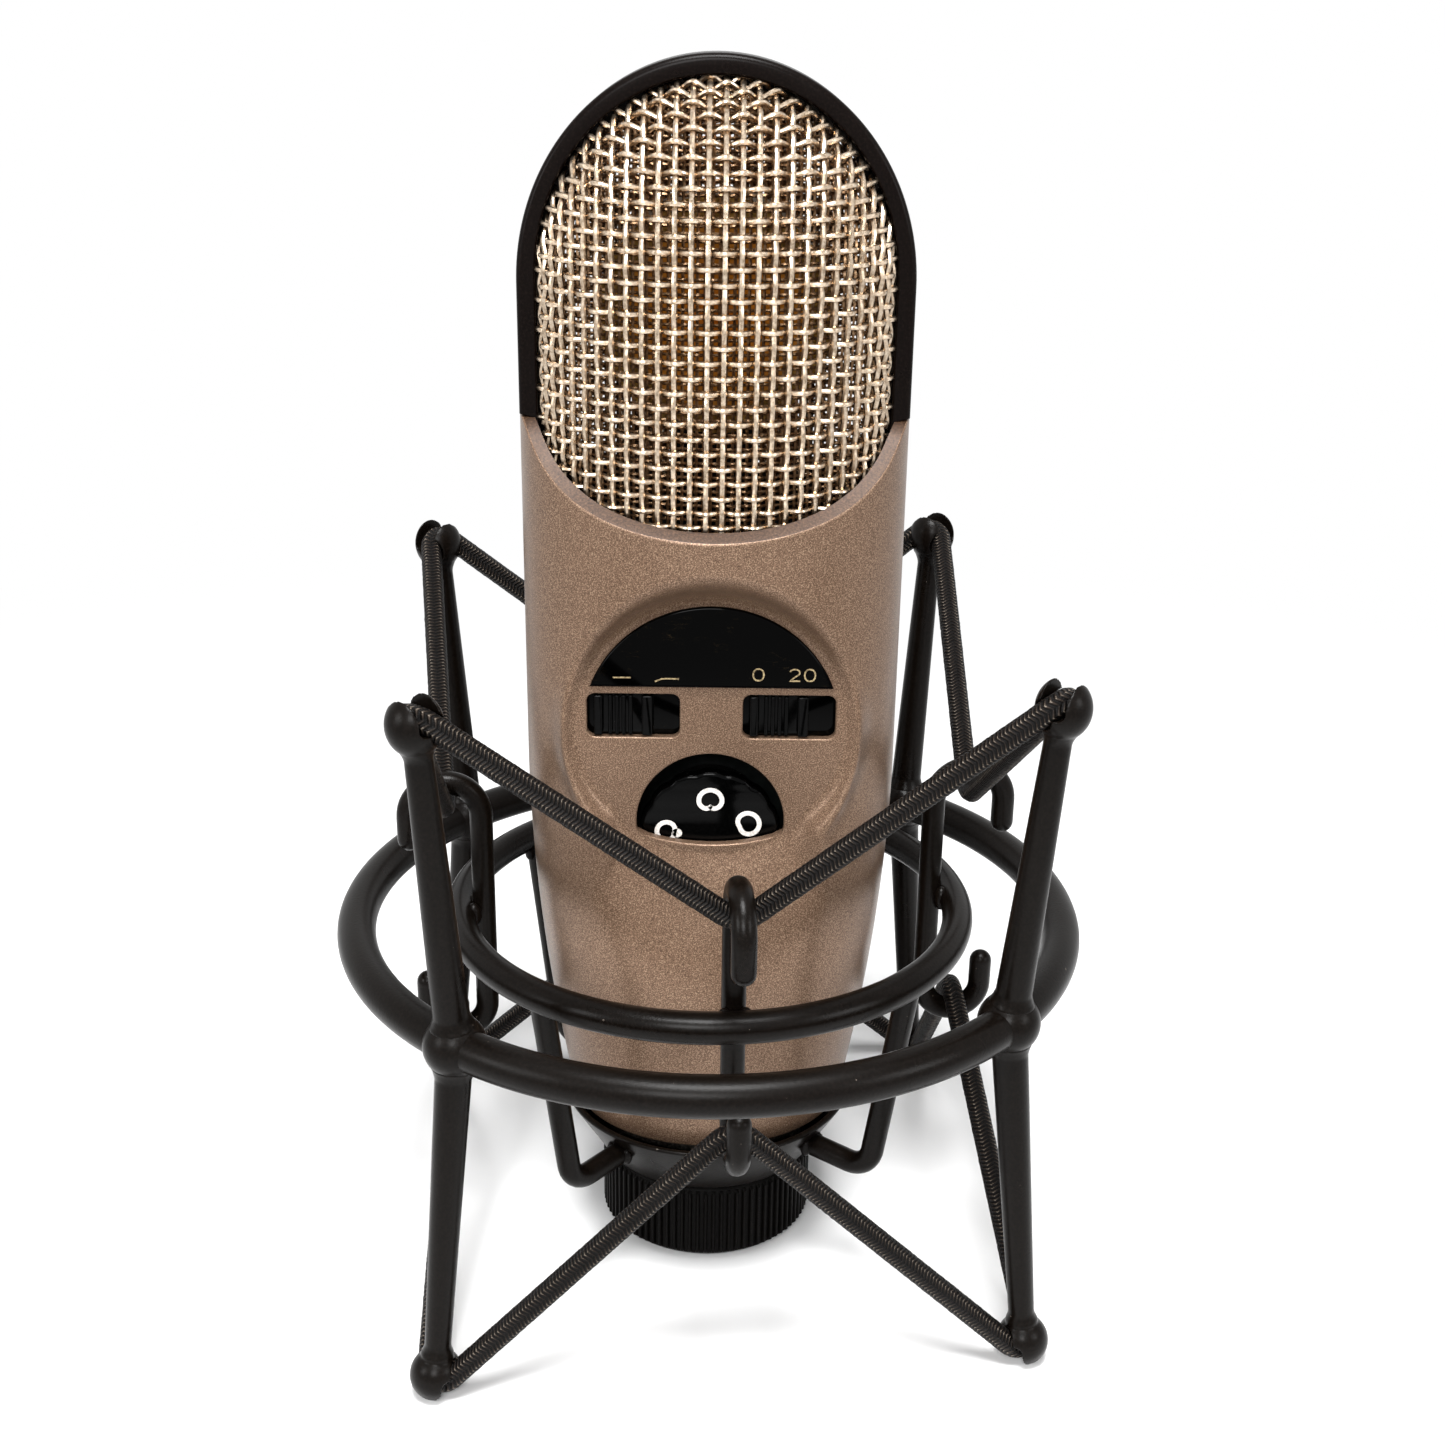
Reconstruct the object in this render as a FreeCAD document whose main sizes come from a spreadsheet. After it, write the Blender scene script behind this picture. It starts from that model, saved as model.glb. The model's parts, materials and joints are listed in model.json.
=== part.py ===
"""Side-address condenser microphone standing in its elastic spider mount.

Millimetres, +Z up.  Z = 0 is the surface that the four feet stand on.  The microphone looks
along -Y and its axis is the vertical line x = 0, y = -axis_setback, which puts the origin in
the middle of the whole object.  The spider mount is turned by mount_turn about that axis.

Pieces of the mount are drawn in a radial frame: local +X points outwards from the axis, and
each copy is then turned about Z to its place on the ring.
"""
import FreeCAD, Part
import math
import os
import Sketcher

from FreeCAD import Placement, Rotation, Vector

doc = FreeCAD.newDocument("spider_mounted_microphone")
sheet = doc.addObject("Spreadsheet::Sheet", "size")

X_AXIS = Vector(1, 0, 0)
Y_AXIS = Vector(0, 1, 0)
Z_AXIS = Vector(0, 0, 1)
FAR = "300"

# ---------------------------------------------------------------------------------------
# Driving dimensions: alias, value, meaning
# ---------------------------------------------------------------------------------------
SIZES = [
    ("mount_turn", 5.84, "turn of the spider mount about the microphone's axis, degrees"),
    ("seat_gap", 0.3, "gap between pieces that seat on curved faces"),
    ("running_gap", 0.05, "radial clearance of a running fit"),
    # outer frame
    ("ring_height", 56.0, "centre of the outer ring above the table"),
    ("ring_radius", 56.0, "outer ring, centre line"),
    ("ring_tube", 3.0, "outer ring, rod radius"),
    ("boss_radius", 4.6, "balls on the ring that carry the posts and legs"),
    ("spigot_radius", 1.5, "spigot of a post or leg"),
    ("spigot_length", 3.0, "depth of that spigot in its boss"),
    ("post_foot", 2.65, "radius of a post or leg at its boss"),
    ("post_neck", 1.95, "radius of a post or leg below its ball"),
    ("ball_radius", 3.9, "ball end of a post or leg"),
    ("ball_height", 4.4, "upper balls, half their height"),
    ("post_reach", 60.6, "upper balls, distance from the axis"),
    ("post_rise", 49.5, "upper balls, height above the ring"),
    ("leg_reach", 62.5, "feet, distance from the axis"),
    ("slot_width", 3.9, "slot in a ball for the elastic cord"),
    ("cord_radius", 1.75, "elastic cord"),
    ("cord_offset", 1.0, "cord in a ball's slot, distance from the ball's centre"),
    ("ball_bend", 3.0, "bend radius of the cord in a ball's slot"),
    # suspended cage
    ("inner_ring_lift", 1.0, "inner ring above the outer one"),
    ("inner_ring_radius", 39.8, "inner ring, centre line"),
    ("inner_ring_tube", 2.4, "inner ring, rod radius"),
    ("rod_radius", 1.8, "hook rods and cup supports"),
    ("weld_bite", 0.4, "how far a rod is let into the ring it is welded to"),
    ("hook_top_bend", 5.65, "upper hooks, bend radius"),
    ("hook_top_rise", 17.6, "upper hooks, bend centre above the ring"),
    ("hook_top_tail", 3.8, "upper hooks, straight tail"),
    ("hook_low_bend", 4.7, "lower hooks, bend radius"),
    ("hook_low_drop", 15.5, "lower hooks, bend centre below the ring"),
    ("hook_low_tail", 4.0, "lower hooks, straight tail"),
    ("support_start", 39.0, "cup support at the inner ring, distance from the axis"),
    ("support_corner", 33.0, "cup support at its bend, distance from the axis"),
    ("support_drop", 35.3, "cup support's foot below the outer ring"),
    ("support_bend", 4.5, "cup support, bend radius"),
    # cup and clamp nut
    ("nut_bottom", 0.8, "clamp nut above the table"),
    ("nut_height", 13.3, "clamp nut"),
    ("nut_radius", 17.4, "clamp nut over its ribs"),
    ("rib_depth", 0.55, "ribs of the clamp nut"),
    ("rib_width", 0.7, "ribs of the clamp nut"),
    ("rib_count", 84, "ribs of the clamp nut"),
    ("nut_edge", 0.7, "bevelled edges of the clamp nut"),
    ("cup_foot_radius", 17.5, "cup, outside at its foot"),
    ("cup_rim_radius", 24.0, "cup, outside at its rim"),
    ("cup_height", 10.6, "cup"),
    ("cup_floor", 1.6, "cup, floor"),
    ("cup_wall", 0.9, "cup, wall"),
    ("cup_lip", 1.2, "cup, thickness of its rim"),
    ("cup_hole", 13.4, "cup, hole for the threaded tube"),
    ("pad_thickness", 1.0, "felt pad in the cup"),
    ("pad_radius", 16.4, "felt pad in the cup, outside"),
    # microphone base
    ("thread_radius", 13.0, "threaded tube of the base"),
    ("socket_radius", 9.7, "connector socket"),
    ("tube_bottom", 2.2, "mouth of the threaded tube above the table"),
    ("neck_radius", 14.8, "neck that stands on the felt pad"),
    ("plate_radius", 20.0, "base plate under the shells"),
    ("base_plate", 1.2, "base plate under the shells"),
    ("insert_height", 6.0, "connector insert"),
    ("insert_face", 14.6, "connector insert's face above the table"),
    ("pin_radius", 1.2, "connector pins"),
    ("pin_circle", 4.85, "connector pins, distance from the axis"),
    ("pin_tip", 4.9, "connector pins, tips above the table"),
    ("pin_tail", 2.0, "connector pins, behind the insert's face"),
    # body shells
    ("shell_bottom", 24.3, "lower edge of the body shells"),
    ("taper_top", 84.0, "where the body starts to taper"),
    ("shell_top", 136.7, "tips of the body shells beside the head"),
    ("half_width", 28.4, "body, half width at the head"),
    ("half_depth", 21.0, "body, half depth at the head"),
    ("width_taper", 6.4, "how much the half width shrinks down to the base"),
    ("depth_taper", 0.6, "how much the half depth shrinks down to the base"),
    ("taper_power", 1.9, "exponent of that taper"),
    ("taper_steps", 5, "steps between the sections of the tapered part"),
    ("shell_wall", 1.8, "body shells, wall"),
    ("mouth_radius", 58.0, "cylinder that cuts the grille opening"),
    ("mouth_ahead", 52.1, "that cylinder's axis ahead of the microphone's"),
    ("mouth_height", 171.5, "that cylinder's axis above the table"),
    ("screw_x", 13.2, "base screws"),
    ("screw_y", 11.6, "base screws"),
    ("screw_radius", 1.25, "base screws, shank"),
    ("screw_head", 1.9, "base screws, head"),
    ("screw_length", 7.0, "base screws, shank below its head"),
    ("screw_post", 3.0, "bosses for the base screws inside the shells, radius"),
    ("screw_post_height", 9.8, "bosses for the base screws, height"),
    ("screw_room", 0.7, "depth of the screw holes past the screws"),
    ("tool_over", 1.0, "how far a cutting tool runs past the face it cuts"),
    # control recess
    ("recess_height", 93.5, "centre of the round recess"),
    ("recess_radius", 20.4, "round recess"),
    ("recess_floor", 14.0, "flat floor of the recess, ahead of the axis"),
    ("floor_wall", 1.6, "wall of the recess"),
    ("tray_inset", 0.02, "tray of the recess inside the body's outer face"),
    ("badge_drop", 1.5, "centre of the badge's arc below the recess's"),
    ("badge_margin", 1.4, "badge's arc less than the recess's"),
    ("badge_gap", 1.0, "badge's straight lower edge above the slots"),
    ("badge_thickness", 0.9, "badge"),
    ("slot_offset", 11.5, "slider slots, from the middle"),
    ("slot_rise", 0.9, "slider slots, middle above the recess's centre"),
    ("slot_long", 13.7, "slider slots"),
    ("slot_tall", 6.8, "slider slots"),
    ("slot_corner", 1.2, "slider slots, corner radius"),
    ("slider_long", 9.4, "slider caps"),
    ("slider_tall", 6.3, "slider caps"),
    ("slider_corner", 0.9, "slider caps, corner radius"),
    ("slider_start", 0.3, "slider caps, gap at the left end of the slot"),
    ("slider_face", 13.5, "slider caps, face between ribs"),
    ("slider_rib", 0.6, "ribs on the slider caps"),
    ("slider_ribs", 6, "ribs on the slider caps"),
    ("stem_long", 2.4, "slider stems"),
    ("slider_travel", 3.7, "slider caps, travel"),
    ("window_drop", 17.3, "knob window, centre of its arc below the slots"),
    ("window_radius", 11.1, "knob window"),
    ("window_rim", 0.6, "knob window's lower arc inside the recess's"),
    ("knob_drop", 20.5, "pattern knob's axis below the slots"),
    ("knob_radius", 10.4, "pattern knob"),
    ("knob_face", 12.1, "pattern knob's face ahead of the axis"),
    ("knob_thickness", 2.6, "pattern knob"),
    ("knob_notch", 0.9, "finger notches in the knob's rim"),
    ("knob_notches", 15, "finger notches in the knob's rim"),
    ("shaft_radius", 3.0, "pattern knob's shaft"),
    ("shaft_length", 5.0, "pattern knob's shaft"),
    # head
    ("band_radius_x", 28.2, "head band, half width outside"),
    ("band_radius_z", 30.9, "head band, rise of its arch"),
    ("band_spring", 155.5, "head band, height where the arch starts"),
    ("band_inner_x", 25.4, "head band, half width inside"),
    ("band_inner_z", 27.0, "head band, rise of its inner arch"),
    ("band_half", 4.5, "head band, half its depth"),
    ("tongue_length", 10.0, "legs of the band inside the shells"),
    ("grille_radius_x", 25.3, "grille dome, half width"),
    ("grille_radius_y", 18.9, "grille dome, half depth"),
    ("grille_radius_z", 26.9, "grille dome, rise"),
    ("grille_spring", 156.5, "grille dome, height where it starts to close"),
    ("grille_wall", 0.7, "grille wire cloth"),
    ("liner_gap", 1.0, "air between the wire cloth and the fine cloth behind it"),
    ("liner_wall", 0.4, "fine cloth"),
    ("grille_tuck", 3.0, "how far the grille reaches down behind the lip"),
    ("mesh_across", 12, "upright bars of the grille's plain grid"),
    ("mesh_pitch", 4.4, "upright bars, apart"),
    ("mesh_up", 14, "level bars of the grille's plain grid"),
    ("mesh_rise", 4.5, "level bars, apart"),
    ("mesh_low", 123.0, "lowest level bar above the table"),
    ("mesh_bar", 1.25, "bars of that grid"),
    ("deck_rise", 5.6, "top of the deck between body and head, above the recess"),
    ("deck_thickness", 2.0, "that deck"),
    ("capsule_height", 151.5, "capsule's centre"),
    ("capsule_radius", 16.5, "capsule"),
    ("capsule_half", 4.5, "capsule backplate, half thickness"),
    ("diaphragm_radius", 13.2, "diaphragm"),
    ("diaphragm_thickness", 0.3, "diaphragm and its spacer"),
    ("clamp_thickness", 1.5, "rings that clamp the diaphragms"),
    ("saddle_width", 12.0, "capsule saddle"),
    ("saddle_half", 4.0, "capsule saddle, half depth"),
    # inside the body
    ("rail_offset", 16.0, "chassis rails, from the middle"),
    ("rail_thickness", 1.6, "chassis rails"),
    ("rail_depth", 8.0, "chassis rails"),
    ("board_thickness", 1.6, "circuit boards"),
    ("board_half_width", 15.2, "main board, half width"),
    ("board_back", 2.0, "main board, its front face behind the axis"),
    ("part_size", 7.0, "half the width of the transformer on the main board"),
    ("part_gap", 2.0, "transformer above the main board's lower edge"),
    ("part_radius", 2.3, "capacitors"),
    ("part_pitch", 5.6, "capacitors, apart"),
    ("board_bottom", 34.0, "main board's lower edge"),
    ("board_margin", 5.5, "main board's upper edge below the deck"),
    ("panel_back", 1.6, "switch board, its rear face ahead of the rails"),
    ("panel_half_width", 17.5, "switch board, half width"),
    ("panel_below", 11.9, "switch board's lower edge below the knob's axis"),
    ("panel_above", 7.6, "switch board's upper edge above the slots' middle"),
    ("switch_long", 13.0, "slide switch"),
    ("switch_tall", 6.0, "slide switch"),
    ("switch_front", 8.6, "slide switches, front face ahead of the axis"),
    ("rotary_radius", 8.5, "rotary switch"),
    ("rotary_front", 8.6, "rotary switch, front face ahead of the axis"),
    ("bezel_thickness", 1.0, "black plate behind the slots"),
    ("bezel_margin", 1.0, "that plate, past the slots' edges"),
    # stand adapter at the back of the ring
    ("fork_gap", 2.5, "air between the ring and the rounded ends of the fork"),
    ("lug_half", 3.0, "lug on the ring, half thickness"),
    ("lug_round", 6.5, "rounded end of the lug and the fork"),
    ("fork_wall", 5.0, "ears of the fork"),
    ("sleeve_radius", 11.0, "threaded sleeve"),
    ("sleeve_top", 10.0, "top of the sleeve below the swivel axis"),
    ("sleeve_bottom", 34.0, "mouth of the sleeve below the swivel axis"),
    ("side_gap", 0.15, "play of the fork on each side of the lug"),
    ("insert_radius", 9.0, "brass thread insert, outside"),
    ("stand_thread", 7.5, "stand thread, wall radius"),
    ("stand_depth", 16.0, "stand thread, depth"),
    ("bolt_radius", 3.0, "swivel bolt"),
    ("hex_radius", 5.0, "swivel nut over its corners"),
    ("hex_height", 3.0, "swivel nut"),
    ("grip_radius", 8.0, "tension knob"),
    ("grip_length", 11.0, "tension knob"),
    ("grip_gap", 0.3, "tension knob, play against the fork"),
    ("grip_step", 2.0, "tension knob, plain collar beside the fork"),
    ("grip_notch", 2.2, "finger notches of the tension knob"),
    ("grip_notches", 6, "finger notches of the tension knob"),
]

DERIVED = [
    ("pivot_reach", "ring_radius + ring_tube + fork_gap + lug_round",
     "swivel axis, distance from the microphone's axis"),
    ("axis_setback", "(pivot_reach * cos(mount_turn) + sleeve_radius - ring_radius - "
     "ring_tube) / 2",
     "microphone's axis in front of the origin"),
    ("inner_ring_height", "ring_height + inner_ring_lift", "centre of the inner ring"),
    ("post_tilt", "atan((post_reach - ring_radius) / post_rise)", "lean of the posts"),
    ("leg_drop", "ring_height - sqrt(ball_radius ^ 2 - (slot_width / 2) ^ 2)",
     "ball feet below the ring"),
    ("leg_tilt", "atan((leg_reach - ring_radius) / leg_drop)", "lean of the legs"),
    ("boss_flat", "sqrt(boss_radius ^ 2 - post_foot ^ 2)", "seats on the bosses"),
    ("foot_height", "sqrt(ball_radius ^ 2 - (slot_width / 2) ^ 2)",
     "centre of the ball feet, which stand on the edges of their slots"),
    ("fork_in", "lug_half + side_gap", "inner faces of the fork"),
    ("fork_out", "fork_in + fork_wall", "outer faces of the fork"),
    ("sleeve_mouth", "ring_height - sleeve_bottom", "mouth of the sleeve above the table"),
    ("hook_reach", "inner_ring_radius - inner_ring_tube - rod_radius + weld_bite",
     "hook rods, distance from the axis"),
    ("support_height", "ring_height - support_drop", "cup supports' feet"),
    ("support_lean", "atan((support_start - support_corner) / "
     "(inner_ring_height - support_height))", "lean of the cup supports"),
    ("support_length", "sqrt((support_start - support_corner) ^ 2 + "
     "(inner_ring_height - support_height) ^ 2)", "cup supports, corner to ring"),
    ("support_tangent", "support_bend * tan((90 deg - support_lean) / 2)",
     "cup supports, corner to the start of the bend"),
    ("cup_bottom", "nut_bottom + nut_height + seat_gap", "underside of the cup"),
    ("pad_bottom", "cup_bottom + cup_floor", "underside of the felt pad"),
    ("neck_bottom", "pad_bottom + pad_thickness + running_gap", "microphone's seat on the pad"),
    ("plate_bottom", "shell_bottom - base_plate", "underside of the base plate"),
    ("floor_back", "recess_floor - floor_wall", "inner face of the recess floor"),
    ("badge_height", "recess_height - badge_drop", "centre of the badge's arc"),
    ("badge_radius", "recess_radius - badge_margin", "badge's arc"),
    ("slot_height", "recess_height + slot_rise", "slider slots, middle above the table"),
    ("slot_low", "slot_height - slot_tall / 2", "lower edges of the slider slots"),
    ("slot_high", "slot_height + slot_tall / 2", "upper edges of the slider slots"),
    ("badge_bottom", "slot_high + badge_gap", "straight lower edge of the badge"),
    ("window_height", "slot_height - window_drop", "knob window, centre of its arc"),
    ("window_sill", "recess_radius - window_rim",
     "knob window, lower arc about the recess's centre"),
    ("knob_height", "slot_height - knob_drop", "pattern knob's axis above the table"),
    ("deck_top", "recess_height + recess_radius + deck_rise",
     "top of the deck between body and head"),
    ("board_top", "deck_top - board_margin", "main board's upper edge"),
    ("panel_bottom", "knob_height - panel_below", "switch board's lower edge"),
    ("panel_top", "slot_height + panel_above", "switch board's upper edge"),
    ("panel_front", "panel_back + board_thickness", "front face of the switch board"),
    ("slot_left", "-slot_offset - slot_long / 2 + slider_start", "low cut cap's left end"),
    ("slot_right", "slot_offset - slot_long / 2 + slider_start", "pad cap's left end"),
]


def fill_sheet():
    """Write every driving and derived dimension into the spreadsheet."""
    row = 1
    for alias, value, note in SIZES:
        sheet.set(f"A{row}", note)
        sheet.set(f"B{row}", str(value))
        sheet.setAlias(f"B{row}", alias)
        row += 1
    for alias, formula, note in DERIVED:
        sheet.set(f"A{row}", note)
        sheet.set(f"B{row}", "=" + formula)
        sheet.setAlias(f"B{row}", alias)
        row += 1
    doc.recompute()


def val(alias):
    """Return one dimension as a plain number."""
    cell = sheet.get(alias)
    return float(getattr(cell, "Value", cell))


# ---------------------------------------------------------------------------------------
# Helpers: every size argument is an expression over the sheet's aliases
# ---------------------------------------------------------------------------------------
NAMES = sorted([s[0] for s in SIZES] + [d[0] for d in DERIVED], key=len, reverse=True)


def expression(text):
    """Prefix every alias in a formula with the sheet's name."""
    words = []
    word = ""
    for letter in str(text) + " ":
        if letter.isalnum() or letter in "_.":
            word += letter
            continue
        words.append("size." + word if word in NAMES else word)
        words.append(letter)
        word = ""
    return "".join(words).strip()


def bind(item, **formulas):
    """Bind properties of an object; a double underscore stands for a dot."""
    for name, formula in formulas.items():
        item.setExpression(name.replace("__", "."), expression(formula))
    return item


def put(item, x="0", y="0", z="0", turn=None):
    """Place an object by formulas, after an optional fixed rotation (axis, degrees)."""
    if turn is not None:
        item.Placement = Placement(Vector(), Rotation(turn[0], turn[1]))
    return bind(item, Placement__Base__x=x, Placement__Base__y=y, Placement__Base__z=z)


def spin(item, axis, angle):
    """Turn an object about an axis through its own origin, by a formula in degrees."""
    item.Placement.Rotation = Rotation(axis, 1.0)
    return bind(item, Placement__Rotation__Angle=angle)


def primitive(kind, name, **formulas):
    return bind(doc.addObject(kind, name), **formulas)


def box(name, x, y, z):
    """Box from three (low, high) pairs of formulas."""
    item = primitive("Part::Box", name, Length=f"({x[1]}) - ({x[0]})",
                     Width=f"({y[1]}) - ({y[0]})", Height=f"({z[1]}) - ({z[0]})")
    return put(item, x[0], y[0], z[0])


def rod_z(name, radius, low, high, x="0", y="0"):
    """Upright cylinder between two heights."""
    item = primitive("Part::Cylinder", name, Radius=radius, Height=f"({high}) - ({low})")
    return put(item, x, y, low)


def rod_y(name, radius, front, back, x="0", z="0"):
    """Cylinder along Y between two y values."""
    item = primitive("Part::Cylinder", name, Radius=radius, Height=f"({back}) - ({front})")
    return put(item, x, front, z, (X_AXIS, -90))


def ball(name, radius, x, z, y="0"):
    return put(primitive("Part::Sphere", name, Radius=radius), x, y, z)


def torus(name, radius, tube, z):
    return put(primitive("Part::Torus", name, Radius1=radius, Radius2=tube), z=z)


def fuse(name, parts):
    item = doc.addObject("Part::MultiFuse", name)
    item.Shapes = parts
    item.Refine = True
    return item


def cut(name, base, tools):
    """Base less its tools."""
    tool = tools[0] if len(tools) == 1 else fuse(name + "_tools", tools)
    item = doc.addObject("Part::Cut", name)
    item.Base = base
    item.Tool = tool
    return item


def common(name, first, second):
    item = doc.addObject("Part::Common", name)
    item.Base = first
    item.Tool = second
    return item


def feature(name, shape):
    """Object whose shape Part's own functions made."""
    item = doc.addObject("Part::Feature", name)
    item.Shape = shape
    return item


NODES = []


def node(item, label, mount=False, azimuth="0", turn=0):
    """Finish a sub-part: give it its label and its place on the microphone's axis.

    A bare primitive keeps its own place inside a compound of one.
    """
    if item.isDerivedFrom("Part::Primitive"):
        group = doc.addObject("Part::Compound", label + "_body")
        group.Links = [item]
        item = group
    item.Label = label
    if mount:
        item.Placement.Rotation = Rotation(Z_AXIS, 1.0)
        bind(item, Placement__Rotation__Angle=f"mount_turn + {azimuth}")
    elif turn:
        item.Placement.Rotation = Rotation(Z_AXIS, turn)
    bind(item, Placement__Base__y="-axis_setback")
    NODES.append(item)
    return item


def body_sketch(body, role, name, corners):
    """Closed outline on one of the body's own planes; every corner is a pair of formulas.

    The corners start on a curve that can't fold over, and the constraints then carry them.
    """
    plane = [f for f in body.Origin.OriginFeatures if f.Role == role][0]
    sketch = body.newObject("Sketcher::SketchObject", name)
    sketch.AttachmentSupport = [(plane, "")]
    sketch.MapMode = "FlatFace"
    count = len(corners)
    start = [Vector(index + 1, index * index, 0) for index in range(count)]
    for index in range(count):
        sketch.addGeometry(Part.LineSegment(start[index], start[(index + 1) % count]))
    for index in range(count):
        following = (index + 1) % count
        sketch.addConstraint(Sketcher.Constraint("Coincident", index, 2, following, 1))
    for index, (x, y) in enumerate(corners):
        rule = Sketcher.Constraint("DistanceX", -1, 1, index, 1, start[index].x)
        sketch.setExpression(f"Constraints[{sketch.addConstraint(rule)}]", expression(x))
        rule = Sketcher.Constraint("DistanceY", -1, 1, index, 1, start[index].y)
        sketch.setExpression(f"Constraints[{sketch.addConstraint(rule)}]", expression(y))
    return sketch


def turned(name, corners):
    """PartDesign body: an outline of (radius, height) corners turned about Z."""
    body = doc.addObject("PartDesign::Body", name)
    sketch = body_sketch(body, "XZ_Plane", name + "_outline", corners)
    turn = body.newObject("PartDesign::Revolution", name + "_turn")
    turn.Profile = sketch
    turn.ReferenceAxis = (sketch, ["V_Axis"])
    turn.Angle = 360
    body.Tip = turn
    return body


def oval(name, half_x, half_y, low, high):
    """Upright elliptical cylinder."""
    rim = primitive("Part::Ellipse", name + "_rim", MajorRadius=half_x, MinorRadius=half_y)
    put(rim, z=low)
    item = doc.addObject("Part::Extrusion", name)
    item.Base = rim
    item.DirMode = "Custom"
    item.Dir = Z_AXIS
    item.Solid = True
    return bind(item, LengthFwd=f"({high}) - ({low})")


def arch(name, half_x, rise, spring, low, half_depth):
    """Arch-shaped block: an upright ellipse above the spring line, straight sides below."""
    rim = primitive("Part::Ellipse", name + "_rim", MajorRadius=rise, MinorRadius=half_x)
    rim.Placement = Placement(Vector(), Rotation(X_AXIS, 90) * Rotation(Z_AXIS, 90))
    bind(rim, Placement__Base__z=spring)
    slab = doc.addObject("Part::Extrusion", name + "_slab")
    slab.Base = rim
    slab.DirMode = "Custom"
    slab.Dir = Y_AXIS
    slab.Solid = True
    slab.Symmetric = True
    bind(slab, LengthFwd=f"2 * {half_depth}")
    legs = box(name + "_legs", (f"-{half_x}", half_x), (f"-{half_depth}", half_depth),
               (low, spring))
    return fuse(name, [slab, legs])


def bend(name, radius, sweep, x, z, first):
    """Bent rod in the radial plane: part of a torus about Y, from angle `first` upwards.

    Angle 0 points along +X and angles run from +X towards +Z.
    """
    item = primitive("Part::Torus", name, Radius1=radius, Radius2="rod_radius", Angle3=sweep)
    item.Placement = Placement(Vector(), Rotation(Y_AXIS, -first) * Rotation(X_AXIS, 90))
    return bind(item, Placement__Base__x=x, Placement__Base__z=z)


def leaning(name, kind, lean, x, z, start, **formulas):
    """Primitive whose axis leans outwards from +Z by `lean` degrees; it starts along it."""
    item = primitive(kind, name, **formulas)
    item.Placement.Rotation = Rotation(Y_AXIS, 1.0)
    return bind(item, Placement__Rotation__Angle=lean,
                Placement__Base__x=f"({x}) + ({start}) * sin({lean})",
                Placement__Base__z=f"({z}) + ({start}) * cos({lean})")


def turned_copies(name, make, angles):
    """One tool made several times, each turned about Z."""
    tools = []
    for index, angle in enumerate(angles):
        tool = make(f"{name}_{index}")
        tool.Placement = Placement(Vector(), Rotation(Z_AXIS, angle))
        tools.append(tool)
    return tools


CORNERS = {"front_right": -45, "rear_right": 45, "rear_left": 135, "front_left": 225}
SIDES = {"front": -90, "right": 0, "rear": 90, "left": 180}


# ---------------------------------------------------------------------------------------
# Elastic cords
# ---------------------------------------------------------------------------------------
def polar(radius, azimuth, height):
    """Point of the mount at an azimuth in degrees."""
    angle = math.radians(azimuth)
    return Vector(radius * math.cos(angle), radius * math.sin(angle), height)


def unit(vector):
    return vector * (1.0 / vector.Length)


def loop_wire(name, hook_middle, hook_bend, ball_middle, ball_bend):
    """Closed run of cord over four hooks and four balls.

    Each middle is (radius, height) of the point where the cord turns, and each bend is the
    radius of its centre line there.  The arcs are tangent to the straight runs.
    """
    middles = []
    bends = []
    for azimuth in range(0, 360, 90):
        middles.append(polar(hook_middle[0], azimuth, hook_middle[1]))
        bends.append(hook_bend)
        middles.append(polar(ball_middle[0], azimuth + 45, ball_middle[1]))
        bends.append(ball_bend)
    count = len(middles)
    corners = list(middles)
    for _ in range(8):
        corners = [corner_beyond(corners, middles, bends, index) for index in range(count)]
    edges = []
    ends = [bend_ends(corners, bends, index) for index in range(count)]
    turns = [turn_at(corners, index) for index in range(count)]
    for index in range(count):
        before, middle, after = ends[index]
        following = ends[(index + 1) % count][0]
        edges.append(Part.Arc(before, middle, after).toShape())
        edges.append(Part.LineSegment(after, following).toShape())
    straight = (ends[1][0] - ends[0][2]).Length
    print(f"{name}: arcs {hook_bend:.2f} and {ball_bend:.2f} mm, turns "
          f"{math.degrees(turns[0]):.0f} and {math.degrees(turns[1]):.0f} degrees, "
          f"runs {straight:.1f} mm, whole {Part.Wire(edges).Length:.1f} mm")
    return Part.Wire(edges), ends[0][0]


def turn_at(corners, index):
    before = unit(corners[index] - corners[index - 1])
    after = unit(corners[(index + 1) % len(corners)] - corners[index])
    return before.getAngle(after)


def corner_beyond(corners, middles, bends, index):
    """Meeting point of the two runs whose arc passes through this middle."""
    to_last = unit(corners[index - 1] - corners[index])
    to_next = unit(corners[(index + 1) % len(corners)] - corners[index])
    outward = unit(to_last + to_next) * -1.0
    turn = turn_at(corners, index)
    return middles[index] + outward * (bends[index] * (1.0 / math.cos(turn / 2) - 1.0))


def bend_ends(corners, bends, index):
    """Start, middle and end of the arc at one corner."""
    to_last = unit(corners[index - 1] - corners[index])
    to_next = unit(corners[(index + 1) % len(corners)] - corners[index])
    half = turn_at(corners, index) / 2
    reach = bends[index] * math.tan(half)
    inward = unit(to_last + to_next)
    middle = corners[index] + inward * (bends[index] * (1.0 / math.cos(half) - 1.0))
    return corners[index] + to_last * reach, middle, corners[index] + to_next * reach


def cord_tube(path, radius):
    """Round tube along a closed loop."""
    wire, start = path
    first = wire.Edges[0]
    tangent = first.tangentAt(first.FirstParameter)
    profile = Part.Wire(Part.makeCircle(radius, start, tangent))
    return wire.makePipeShell([profile], True, False)


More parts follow.
